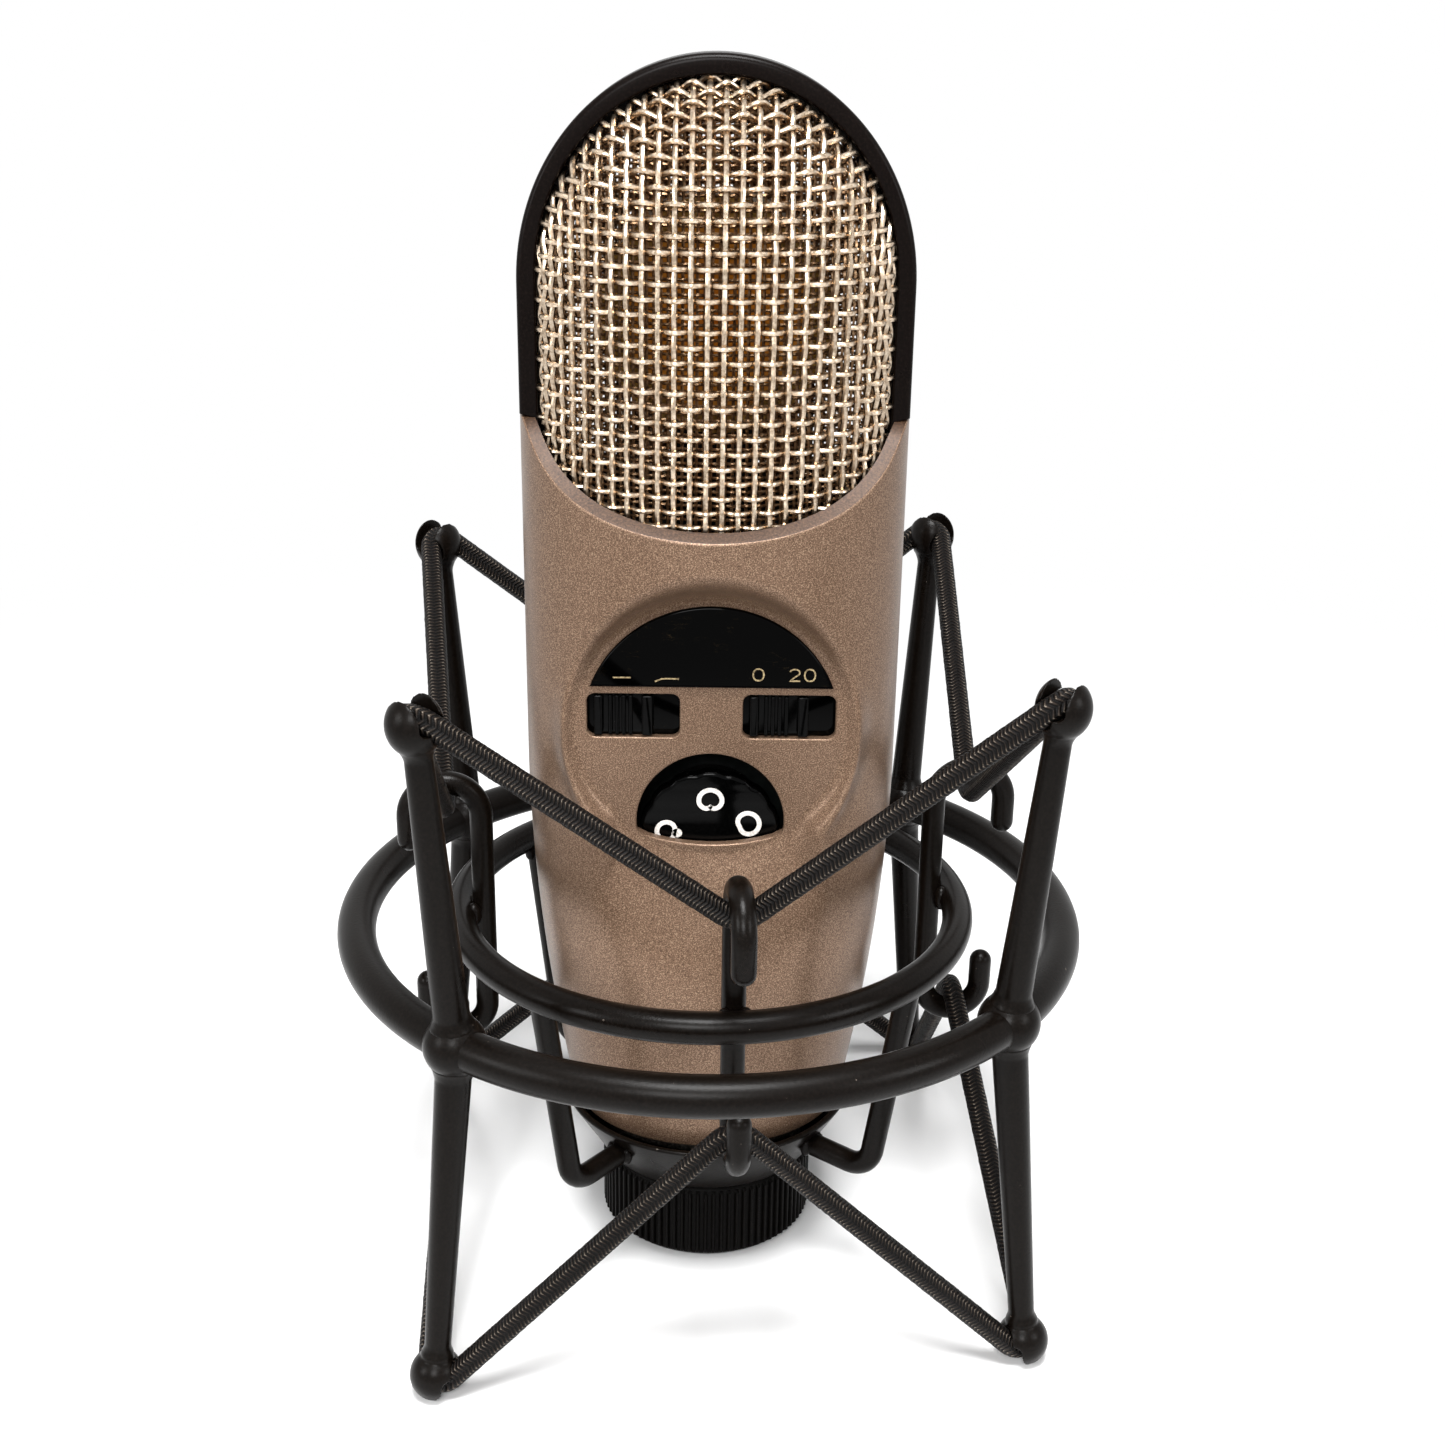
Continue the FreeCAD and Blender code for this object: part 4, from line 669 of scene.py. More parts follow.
def lathe(form: Form, outline: Sequence[Array], sides: int) -> None:
    """Turn a closed outline of radius and height about the microphone's axis."""
    angles = circle(sides)
    radius, height = np.array(outline).T[:, :, None]
    form.grid(np.stack((radius * np.cos(angles), radius * np.sin(angles),
                        height + 0 * angles), axis=-1), True, True)


def bulge(radius: float, half: float, steps: int) -> list[Pair]:
    """Outline of a ball or egg: radius and distance along its axis, from end to end."""
    return [(radius * cos(angle), half * sin(angle))
            for angle in np.linspace(-pi / 2, pi / 2, steps)]


def turned_about(form: Form, outline: Iterable[Pair], centre: Array,
                 axis: Array, sides: int) -> None:
    """Turn an open outline about any axis.

    Args:
        form: Form that takes the points.
        outline: Radius and distance along the axis of each point.
        centre: Where that distance is nought.
        axis: Direction of the axis.
        sides: Steps round it.
    """
    axis = unit(axis)
    first = unit(np.cross(axis, (0.31, 0.87, 0.21)))
    second = np.cross(axis, first)
    angles = circle(sides)[:, None]
    ring = np.cos(angles) * first + np.sin(angles) * second
    form.grid(np.array([centre + axis * along + ring * radius for radius, along in outline]),
              False, True)


# ---- Geometry node trees ----
def geometry_tree(name: str, inputs: dict[str, str], output: str) -> tuple[NodeTree, Node]:
    """Start a geometry tree with named inputs.

    Args:
        name: Name of the tree.
        inputs: Kind of socket for each input's name.
        output: Name of the geometry that comes out.

    Returns:
        The tree and its input node.
    """
    tree = bpy.data.node_groups.new(name, "GeometryNodeTree")
    for label, kind in inputs.items():
        tree.interface.new_socket(label, in_out="INPUT", socket_type="NodeSocket" + kind)
    tree.interface.new_socket(output, in_out="OUTPUT", socket_type="NodeSocketGeometry")
    return tree, add(tree, "NodeGroupInput")


def dress_output(tree: NodeTree, geometry: NodeSocket, start: Node, output: str) -> None:
    """Give a tree's geometry the finish from its inputs, and send it out.

    Args:
        tree: Geometry tree.
        geometry: Socket of the geometry.
        start: The tree's input node.
        output: Name of the output.
    """
    dressed = add(tree, "GeometryNodeSetMaterial",
                  {"Geometry": geometry, "Material": start.outputs["Finish"]})
    add(tree, "NodeGroupOutput", {output: dressed.outputs["Geometry"]})


@dataclass
class Weaver:
    """Tree that turns polylines into round rods or wires, with named inputs for its sizes.

    Each point carries its own share of the rod's radius in the attribute "swell".
    """

    name: str = "rods_along_paths"
    tree: NodeTree | None = None

    def build(self) -> NodeTree:
        """Return the tree, built once."""
        if self.tree is not None:
            return self.tree
        tree, start = geometry_tree(self.name, {"Paths": "Geometry", "Rod radius": "Float",
                                                "Sides": "Int", "Finish": "Material"}, "Rods")
        curves = add(tree, "GeometryNodeMeshToCurve", {"Mesh": start.outputs["Paths"]})
        swell = add(tree, "GeometryNodeInputNamedAttribute", values={"Name": "swell"},
                    data_type="FLOAT")
        sized = add(tree, "GeometryNodeSetCurveRadius",
                    {"Curve": curves.outputs["Curve"], "Radius": swell.outputs["Attribute"]})
        ring = add(tree, "GeometryNodeCurvePrimitiveCircle",
                   {"Resolution": start.outputs["Sides"],
                    "Radius": start.outputs["Rod radius"]}, mode="RADIUS")
        links = {"Curve": sized.outputs["Curve"], "Profile Curve": ring.outputs["Curve"]}
        sweep = add(tree, "GeometryNodeCurveToMesh", links, {"Fill Caps": True})
        if "Scale" in sweep.inputs:
            tree.links.new(swell.outputs["Attribute"], sweep.inputs["Scale"])
        whole = add(tree, "GeometryNodeRealizeInstances", {"Geometry": sweep.outputs["Mesh"]})
        dress_output(tree, whole.outputs["Geometry"], start, "Rods")
        self.tree = tree
        return tree

    def rods(self, name: str, paths: Sequence[tuple[Array, Array | None, bool]],
             radius: float, sides: int, finish: Finishes) -> Mesh:
        """Sweep round rods along paths.

        Args:
            name: Name of the mesh.
            paths: Points in millimetres, share of the radius at each or None for all of
                it, and whether the path is closed.
            radius: Rod radius in millimetres.
            sides: Sides of each rod.
            finish: Finish of the rods.

        Returns:
            A plain mesh in metres.
        """
        points = np.concatenate([path[0] for path in paths]) * MM
        swell = np.concatenate([np.ones(len(path)) if share is None else share
                                for path, share, _ in paths])
        edges = []
        start = 0
        for path, _, closed in paths:
            end = start + len(path)
            edges += [(index, index + 1) for index in range(start, end - 1)]
            if closed:
                edges.append((end - 1, start))
            start = end
        mesh = bpy.data.meshes.new(name + "_paths")
        mesh.from_pydata(points.tolist(), edges, [])
        mesh.attributes.new("swell", "FLOAT", "POINT").data.foreach_set("value", swell)
        values = {"Rod radius": radius * MM, "Sides": sides, "Finish": material_of(finish)}
        return evaluated(name, mesh, self.build(), values)


def evaluated(name: str, mesh: Mesh, tree: NodeTree, values: dict[str, object]) -> Mesh:
    """Run a geometry tree on a mesh and return the result as a plain mesh.

    Args:
        name: Name of the result.
        mesh: Mesh that goes in, which is used up.
        tree: Geometry tree.
        values: Value of each named input.

    Returns:
        The finished mesh.
    """
    carrier = placed(name + "_carrier", mesh)
    modifier = carrier.modifiers.new("shape", "NODES")
    modifier.node_group = tree
    for item in tree.interface.items_tree:
        if item.item_type == "SOCKET" and item.in_out == "INPUT" and item.name in values:
            modifier[item.identifier] = values[item.name]
    result = baked(carrier)
    result.name = name
    return tidy(result)


WEAVER = Weaver()


def with_modifiers(mesh: Mesh, *steps: tuple[str, dict[str, object]]) -> Mesh:
    """Apply modifiers to a mesh.

    Args:
        mesh: Mesh that goes in, which is used up.
        *steps: Kind of each modifier and its settings.

    Returns:
        The finished mesh.
    """
    carrier = placed(mesh.name + "_carrier", mesh)
    for index, (kind, settings) in enumerate(steps):
        modifier = carrier.modifiers.new(f"step_{index}", kind)
        for name, value in settings.items():
            setattr(modifier, name, value)
    return baked(carrier)


# ---- Elastic cords ----
def turns(corners: Sequence[Array]) -> list[tuple[Array, Array, float]]:
    """Find how a closed line turns at its corners.

    Args:
        corners: Corners of the line.

    Returns:
        Ways from each corner to both its neighbours, and half the angle of its turn.
    """
    result = []
    for index, here in enumerate(corners):
        back = unit(corners[index - 1] - here)
        ahead = unit(corners[(index + 1) % len(corners)] - here)
        result.append((back, ahead, (pi - acos(float(np.clip(back @ ahead, -1, 1)))) / 2))
    return result


@dataclass
class Elastics:
    """Two braided elastic loops, each over four hooks and four balls."""

    cord_radius: float = 1.68
    hook_bend: float = 3.85
    ball_bend: float = 3.0
    upper_hooks: Pair = (41.65, 75.4)
    upper_balls: Pair = (60.6, 106.5)
    lower_hooks: Pair = (40.7, 39.65)
    lower_balls: Pair = (62.5, 2.38)
    upper_span: Pair = (106.5, 75.5)
    lower_span: Pair = (2.4, 39.5)
    step: float = 0.32
    sides: int = 28
    yarns: int = 5
    ridge: float = 0.07
    fuzz: float = 0.02

    def loop(self, hooks: Pair, balls: Pair) -> Array:
        """Centre line of one loop: straight runs joined by tangent arcs.

        Args:
            hooks: Radius and height where the cord turns on a hook.
            balls: Radius and height where it turns in a ball's slot.

        Returns:
            Evenly spaced points of the closed line.
        """
        middles, bends = [], []
        for azimuth in range(0, 360, 90):
            middles += [PLACE.polar(hooks[0], azimuth, hooks[1]),
                        PLACE.polar(balls[0], azimuth + 45, balls[1])]
            bends += [self.hook_bend, self.ball_bend]
        corners = middles
        for _ in range(8):
            corners = [middle - unit(back + ahead) * (size * (1 / cos(half) - 1))
                       for middle, size, (back, ahead, half)
                       in zip(middles, bends, turns(corners))]
        line: list[Array] = []
        for here, size, (back, ahead, half) in zip(corners, bends, turns(corners)):
            reach = size * tan(half)
            centre = here + unit(back + ahead) * (size / cos(half))
            start, end = here + back * reach - centre, here + ahead * reach - centre
            for step in range(25):
                share = step / 24
                weight = (sin((1 - share) * 2 * half), sin(share * 2 * half))
                line.append(centre + (start * weight[0] + end * weight[1]) / sin(2 * half))
        return even(np.array(line), self.step, True)

    def braided(self, name: str, line: Array) -> Mesh:
        """Round cord with its rows of stitches raised, and a little fuzz.

        Args:
            name: Name of the mesh.
            line: Closed centre line of the cord.

        Returns:
            The cord, with its UV map.
        """
        count = len(line)
        tangents = unit(np.roll(line, -1, 0) - np.roll(line, 1, 0))
        normals = transported(tangents)
        seconds = np.cross(tangents, normals)
        miss = atan2(float(normals[0] @ seconds[-1]), float(normals[0] @ normals[-1]))
        along = np.arange(count) / count
        around = circle(self.sides)
        angles = around[None, :] + miss * along[:, None]
        height = np.abs(np.sin(self.yarns * around / 2))[None, :] * np.ones((count, 1))
        rng = np.random.default_rng(7)
        radius = (self.cord_radius + self.ridge * (height - 0.5)
                  + rng.normal(0.0, self.fuzz, height.shape))
        form = Form()
        form.grid(tube(line, radius, angles, tangents, normals), True, True)
        mesh = form.mesh(name)
        corners = np.zeros(len(mesh.loops), int)
        mesh.loops.foreach_get("vertex_index", corners)
        places = np.stack((corners % self.sides, corners // self.sides), 1).reshape(-1, 4, 2)
        for axis, size in ((0, self.sides), (1, count)):
            along = places[..., axis]
            across = np.ptp(along, axis=1) > 1
            along[across] = np.where(along[across] == 0, size, along[across])
        scale = (1 / self.sides, self.step)
        layer = mesh.uv_layers.new(name="lay")
        layer.data.foreach_set("uv", (places * scale).reshape(-1))
        return mesh

    def build(self) -> None:
        """Make both loops, each drawn out between the frame and the cage."""
        for name, hooks, balls, span in (
                ("upper_cord", self.upper_hooks, self.upper_balls, self.upper_span),
                ("lower_cord", self.lower_hooks, self.lower_balls, self.lower_span)):
            node = name.replace("cord", "elastic")
            item = piece(name, self.braided(name, self.loop(hooks, balls)),
                         [Finishes.CORD], "", [node])
            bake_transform(item)


def even(line: Array, step: float, closed: bool) -> Array:
    """Points spaced evenly along a line.

    Args:
        line: Points of the line.
        step: Distance between the new points.
        closed: Whether the line joins up.

    Returns:
        The new points.
    """
    whole = np.concatenate([line, line[:1]]) if closed else line
    lengths = np.concatenate([[0.0], np.cumsum(np.linalg.norm(np.diff(whole, axis=0), axis=1))])
    count = max(2, round(lengths[-1] / step))
    places = np.arange(count) * lengths[-1] / count if closed else \
        np.linspace(0.0, lengths[-1], count)
    return np.stack([np.interp(places, lengths, whole[:, axis]) for axis in range(3)], axis=1)


def tube(line: Array, radius: float | Array, angles: Array, tangents: Array,
         normals: Array) -> Array:
    """Points round a line, as Form takes them.

    Args:
        line: Points of the middle.
        radius: Radius, one for all or one for each point.
        angles: Angles round the line, for each of its points.
        tangents: Unit tangents of the line.
        normals: Normals at angle nought.

    Returns:
        Array of the line's points by angles by 3.
    """
    seconds = np.cross(tangents, normals)
    points = (line[:, None, :] + np.asarray(radius)[..., None]
              * (np.cos(angles)[..., None] * normals[:, None, :]
                 + np.sin(angles)[..., None] * seconds[:, None, :]))
    points[..., 1] -= PLACE.axis_y
    return points


def transported(tangents: Array) -> Array:
    """Normals carried along a line with no twist.

    Args:
        tangents: Unit tangents of the line.

    Returns:
        A normal for each.
    """
    normals = [unit(np.cross(tangents[0], np.cross(UP, tangents[0])
                             if abs(tangents[0] @ UP) < 0.95 else (1.0, 0.0, 0.0)))]
    for tangent in tangents[1:]:
        normal = normals[-1] - tangent * float(normals[-1] @ tangent)
        normals.append(unit(normal))
    return np.array(normals)


# ---- Spider mount: outer frame ----
def round_ends(path: Array, radius: float) -> tuple[Array, Array]:
    """Extend a path by a rounded end at each side.

    Args:
        path: Points of the centre line.
        radius: Rod radius, the same unit as the points.

    Returns:
        The longer path and the share of the radius at each of its points.
    """
    angles = np.linspace(0.0, pi / 2, 8)[1:]
    reach, share = np.sin(angles)[:, None] * radius, np.maximum(np.cos(angles), 0.02)
    first, last = unit(path[0] - path[1]), unit(path[-1] - path[-2])
    return (np.concatenate([(path[0] + first * reach)[::-1], path, path[-1] + last * reach]),
            np.concatenate([share[::-1], np.ones(len(path)), share]))


@dataclass
class OuterFrame:
    """Outer ring with its balls, four posts and four legs, all powder coated."""

    ring_height: float = 56.0
    ring_radius: float = 56.0
    ring_tube: float = 3.0
    boss_radius: float = 4.6
    post_foot: float = 2.65
    post_neck: float = 1.95
    ball_radius: float = 3.9
    ball_height: float = 4.4
    post_reach: float = 60.6
    post_rise: float = 49.5
    leg_reach: float = 62.5
    foot_height: float = 3.38
    slot_width: float = 3.9
    cord_radius: float = 1.75
    cord_room: float = 0.18
    cord_offset: float = 1.0
    voxel: float = 0.17

    def ring(self) -> None:
        """Ring with its four balls."""
        path = np.array([PLACE.polar(self.ring_radius, azimuth * 360 / 240, self.ring_height)
                         for azimuth in range(240)])
        rod = WEAVER.rods("ring_rod", [(path, None, True)], self.ring_tube, 36, Finishes.COAT)
        form = Form()
        for azimuth in CORNERS.values():
            centre = self.local(PLACE.polar(self.ring_radius, azimuth, self.ring_height))
            turned_about(form, bulge(self.boss_radius, self.boss_radius, 33), centre, UP, 56)
        mesh = joined("outer_ring_rod", [rod, form.mesh("ring_balls")])
        piece("outer_ring_rod", mesh, [Finishes.COAT], "mount_frame", ["outer_ring"])

    @staticmethod
    def local(point: Array) -> Array:
        """Point about the microphone's axis, as Form takes it."""
        return point - np.array((0.0, PLACE.axis_y, 0.0))

    def post(self, name: str, azimuth: float, reach: float, height: float,
             ball_height: float, upwards: bool, loop: Array) -> None:
        """One post or leg with its slotted ball.

        Args:
            name: Name of the solid that it stands for.
            azimuth: Azimuth on the mount in degrees.
            reach: Distance of the ball from the axis.
            height: Height of the ball.
            ball_height: Half the height of the ball.
            upwards: Whether the slot opens upwards.
            loop: Centre line of the cord that runs in the slot.
        """
        foot = self.local(PLACE.polar(self.ring_radius, azimuth, self.ring_height))
        head = self.local(PLACE.polar(reach, azimuth, height))
        way = unit(head - foot)
        length = float(np.linalg.norm(head - foot))
        form = Form()
        outline = [(0.0, 1.0), (self.post_foot + 0.7, 3.2), (self.post_foot + 0.35, 3.9),
                   (self.post_foot, 5.0)]
        outline += [(self.post_foot + (self.post_neck - self.post_foot) * share,
                     5.0 + (length - self.ball_radius - 6.0) * share)
                    for share in (0.25, 0.5, 0.75, 1.0)]
        outline += [(self.post_neck + 0.15, length - self.ball_radius - 0.4),
                    (self.post_neck + 0.55, length - self.ball_radius + 0.5), (0.0, length)]
        turned_about(form, outline, foot, way, 48)
        turned_about(form, bulge(self.ball_radius, ball_height, 41), head, UP, 64)
        cutters = [self.slot(azimuth, reach, height, ball_height, upwards),
                   self.channel(loop, PLACE.polar(reach, azimuth, height))]
        remesh = ("REMESH", {"mode": "VOXEL", "voxel_size": self.voxel * MM})
        cuts = [("BOOLEAN", {"operation": "DIFFERENCE", "object": cutter,
                             "solver": "EXACT"}) for cutter in cutters]
        mesh = with_modifiers(form.mesh(name + "_solid"), remesh, *cuts, remesh,
                              ("SMOOTH", {"factor": 0.5, "iterations": 7}))
        for cutter in cutters:
            bpy.data.objects.remove(cutter)
        mesh.shade_smooth()
        piece(name + "_rod", mesh, [Finishes.COAT], "mount_frame", [name])

    def slot(self, azimuth: float, reach: float, height: float, ball_height: float,
             upwards: bool) -> Object:
        """Block that cuts the slot of one ball.

        Args:
            azimuth: Azimuth on the mount in degrees.
            reach: Distance of the ball from the axis.
            height: Height of the ball.
            ball_height: Half the height of the ball.
            upwards: Whether the slot opens upwards.

        Returns:
            The block.
        """
        sign = 1.0 if upwards else -1.0
        level = height + sign * (self.cord_offset - self.cord_radius)
        out = PLACE.outward(azimuth)
        side = np.cross(UP, out)
        centre = self.local(PLACE.polar(reach, azimuth, level))
        half = self.slot_width / 2
        corners = []
        for along in (-2.0 * ball_height, 2.0 * ball_height):
            outline = rounded([(-half, 0.0, 0.9), (half, 0.0, 0.9),
                               (half, 3.0 * ball_height, 0.0), (-half, 3.0 * ball_height, 0.0)])
            corners.append([centre + side * along + out * point[0] + UP * sign * point[1]
                            for point in outline])
        form = Form()
        form.grid(np.array(corners), False, True, capped=True)
        return placed("slot_tool", form.mesh("slot_tool"))

    def channel(self, loop: Array, centre: Array) -> Object:
        """Tube round the cord's own line where it crosses a ball.

        Args:
            loop: Centre line of the cord.
            centre: Middle of the ball.

        Returns:
            The tube.
        """
        near = np.linalg.norm(loop - centre, axis=1) < 3 * self.ball_radius
        start = int(np.argmax(near & ~np.roll(near, 1)))
        line = np.roll(loop, -start, 0)[:int(near.sum())]
        tangents = unit(np.gradient(line, axis=0))
        angles = circle(32)[None, :]
        points = tube(line, self.cord_radius + self.cord_room, angles, tangents,
                      transported(tangents))
        form = Form()
        form.grid(points[::2], False, True, capped=True)
        return placed("channel_tool", form.mesh("channel_tool"))

    def build(self, cords: Elastics) -> None:
        """Make the whole outer frame."""
        self.ring()
        upper = cords.loop(cords.upper_hooks, cords.upper_balls)
        lower = cords.loop(cords.lower_hooks, cords.lower_balls)
        for place, azimuth in CORNERS.items():
            self.post("post_" + place, azimuth, self.post_reach,
                      self.ring_height + self.post_rise, self.ball_height, True, upper)
            self.post("leg_" + place, azimuth, self.leg_reach, self.foot_height,
                      self.ball_radius, False, lower)


# ---- Spider mount: suspended cage ----
@dataclass
class Cage:
    """Inner ring with its hooks and supports, and the cup that they carry."""

    ring_height: float = 57.0
    ring_radius: float = 39.8
    ring_tube: float = 2.4
    rod_radius: float = 1.8
    hook_reach: float = 36.0
    top_bend: float = 5.65
    top_centre: float = 73.6
    top_tail: float = 3.8
    low_bend: float = 4.7
    low_centre: float = 40.5
    low_tail: float = 4.0
    support_start: float = 39.0
    support_corner: float = 33.0
    support_height: float = 20.7
    support_bend: float = 4.5
    weld_offset: float = 1.55
    weld_length: float = 1.6
    weld_unevenness: float = 0.07
    cup_bottom: float = 14.4
    cup_height: float = 10.6
    cup_foot: float = 17.5
    cup_rim: float = 24.0
    cup_lip: float = 1.2
    cup_wall: float = 0.9
    cup_floor: float = 1.6
    cup_hole: float = 13.4

    def hook_path(self, azimuth: float) -> Array:
        """Centre line of one double hook, from the upper tip to the lower one."""
        shape = [(self.hook_reach + 2 * self.top_bend, self.top_centre - self.top_tail)]
        shape += [(self.hook_reach + self.top_bend * (1 + cos(angle)),
                   self.top_centre + self.top_bend * sin(angle))
                  for angle in np.linspace(0, pi, 25)]
        shape += [(self.hook_reach, height)
                  for height in np.linspace(self.top_centre, self.low_centre, 12)[1:-1]]
        shape += [(self.hook_reach + self.low_bend * (1 - cos(angle)),
                   self.low_centre - self.low_bend * sin(angle))
                  for angle in np.linspace(0, pi, 25)]
        shape.append((self.hook_reach + 2 * self.low_bend, self.low_centre + self.low_tail))
        return np.array([PLACE.polar(radius, azimuth, height) for radius, height in shape])

    def support_path(self, azimuth: float) -> Array:
        """Centre line of one support, from the inner ring to the cup's wall."""
        foot = self.cup_foot + 3.0
        outline = rounded([(self.support_start, self.ring_height, 0.0),
                           (self.support_corner, self.support_height, self.support_bend),
                           (foot, self.support_height, 0.0),
                           (foot, self.ring_height, 0.0)], 12)[:-1]
        path = np.array([PLACE.polar(point[0], azimuth, point[1]) for point in outline])
        return even(path, 0.8, False)

    def beads(self, form: Form, azimuth: float, radius: float, height: float, seed: int,
              size: float = 1.25) -> None:
        """Two lumps of weld where an upright rod meets the ring.

        Args:
            form: Form that takes them.
            azimuth: Azimuth on the mount in degrees.
            radius: Distance from the axis.
            height: Height of the weld.
            seed: Seed of their uneven outline.
            size: Radius of a lump.
        """
        rng = np.random.default_rng(seed)
        side = np.cross(UP, PLACE.outward(azimuth))
        for sign in (-1, 1):
            centre = OuterFrame.local(PLACE.polar(radius, azimuth, height))
            centre = centre + side * sign * self.weld_offset
            outline = np.array(bulge(size, self.weld_length * size, 13))
            outline[:, 0] *= 1.0 + rng.normal(0.0, self.weld_unevenness, len(outline))
            turned_about(form, outline, centre, UP, 20)

    def frame(self) -> None:
        """Inner ring, hooks and supports."""
        path = np.array([PLACE.polar(self.ring_radius, azimuth * 360 / 200, self.ring_height)
                         for azimuth in range(200)])
        ring = WEAVER.rods("cage_ring_rod", [(path, None, True)], self.ring_tube, 32,
                           Finishes.COAT)
        form = Form()
        for seed, azimuth in enumerate(SIDES.values()):
            self.beads(form, azimuth, self.hook_reach + 1.7, self.ring_height, seed)
        for seed, azimuth in enumerate(CORNERS.values()):
            self.beads(form, azimuth, self.support_start - 0.3, self.ring_height - 2.3,
                       10 + seed, 1.0)
            self.beads(form, azimuth, self.cup_foot + 4.4, self.support_height, 20 + seed, 0.9)
        mesh = joined("cage_ring", [ring, form.mesh("weld_beads")])
        piece("cage_ring", mesh, [Finishes.COAT], "cage", ["inner_ring"])
        for place, azimuth in SIDES.items():
            path, swell = round_ends(self.hook_path(azimuth), self.rod_radius)
            rod = WEAVER.rods("hook_rod", [(path, swell, False)], self.rod_radius, 28,
                              Finishes.COAT)
            piece("hook_rod_" + place, rod, [Finishes.COAT], "cage", ["hook_" + place])
        for place, azimuth in CORNERS.items():
            path = self.support_path(azimuth)
            rod = WEAVER.rods("support_rod", [(path, None, False)], self.rod_radius,
                              28, Finishes.COAT)
            piece("support_rod_" + place, rod, [Finishes.COAT], "cage", ["support_" + place])

    def cup(self) -> None:
        """Pressed cup with a rolled rim."""
        top = self.cup_bottom + self.cup_height
        outline = rounded([
            (self.cup_hole, self.cup_bottom, 0.2), (self.cup_foot, self.cup_bottom, 0.8),
            (self.cup_rim, top, 0.5), (self.cup_rim - self.cup_lip, top, 0.5),
            (self.cup_foot - self.cup_wall, self.cup_bottom + self.cup_floor, 0.6),
            (self.cup_hole, self.cup_bottom + self.cup_floor, 0.2)], 4)
        form = Form()
        lathe(form, outline, 128)
        piece("pressed_cup", form.mesh("pressed_cup"), [Finishes.COAT], "cage", ["base_cup"])

    def build(self) -> None:
        """Make the whole cage."""
        self.frame()
        self.cup()


# ---- Clamp nut ----
@dataclass
class ClampNut:
    """Ribbed nut that clamps the microphone's base in the cup."""

    bottom: float = 0.8
    height: float = 13.3
    radius: float = 17.4
    rib_depth: float = 0.55
    rib_width: float = 0.7
    ribs: int = 84
    bore: float = 13.05

    def tree(self) -> NodeTree:
        """Tree that stands one rib at each point of a circle round the axis."""
        tree, start = geometry_tree("ribs_round_a_nut", {
            "Rib": "Geometry", "Ribs": "Int", "Root radius": "Float", "Axis": "Vector",
            "Finish": "Material"}, "Ribbed")
        posts = add(tree, "GeometryNodeMeshCircle",
                    {"Vertices": start.outputs["Ribs"], "Radius": start.outputs["Root radius"]})
        spot = add(tree, "GeometryNodeInputPosition")
        turn = add(tree, "FunctionNodeAlignRotationToVector",
                   {"Vector": spot.outputs["Position"]}, axis="X")
        stood = add(tree, "GeometryNodeInstanceOnPoints",
                    {"Points": posts.outputs["Mesh"], "Instance": start.outputs["Rib"],
                     "Rotation": turn.outputs["Rotation"]})
        whole = add(tree, "GeometryNodeRealizeInstances",
                    {"Geometry": stood.outputs["Instances"]})
        moved = add(tree, "GeometryNodeTransform",
                    {"Geometry": whole.outputs["Geometry"],
                     "Translation": start.outputs["Axis"]})
        dress_output(tree, moved.outputs["Geometry"], start, "Ribbed")
        return tree

    def rib(self) -> Mesh:
        """One rounded rib about its own foot, in metres."""
        half = self.rib_width / 2
        low, high = self.bottom + 0.75, self.bottom + self.height - 0.75
        profile = [(-0.3, -half), (self.rib_depth * 0.55, -half * 0.9),
                   (self.rib_depth, -half * 0.4), (self.rib_depth, half * 0.4),
                   (self.rib_depth * 0.55, half * 0.9), (-0.3, half)]
        rows = [[(x * shrink if x > 0 else x, y - PLACE.axis_y, height) for x, y in profile]
                for height, shrink in ((low, 0.2), (low + 0.35, 1.0), (high - 0.35, 1.0),
                                       (high, 0.2))]
        form = Form()
        form.grid(np.array(rows), False, True, capped=True)
        return form.mesh("rib")

    def build(self) -> None:
        """Make the nut."""
        root = self.radius - self.rib_depth
        top = self.bottom + self.height
        form = Form()
        lathe(form, rounded([(self.bore, self.bottom, 0.3), (root - 0.7, self.bottom, 0.3),
                             (root, self.bottom + 0.7, 0.3), (root, top - 0.7, 0.3),
                             (root - 0.7, top, 0.3), (self.bore, top, 0.3)], 3), 168)
        values = {"Ribs": self.ribs, "Root radius": root * MM,
                  "Axis": (0.0, PLACE.axis_y * MM, 0.0), "Finish": material_of(Finishes.NYLON)}
        ribs = evaluated("nut_ribs", self.rib(), self.tree(), values)
        mesh = joined("ribbed_nut", [form.mesh("nut_core"), ribs])
        piece("ribbed_nut", mesh, [Finishes.NYLON], "nut_body", ["clamp_nut"])


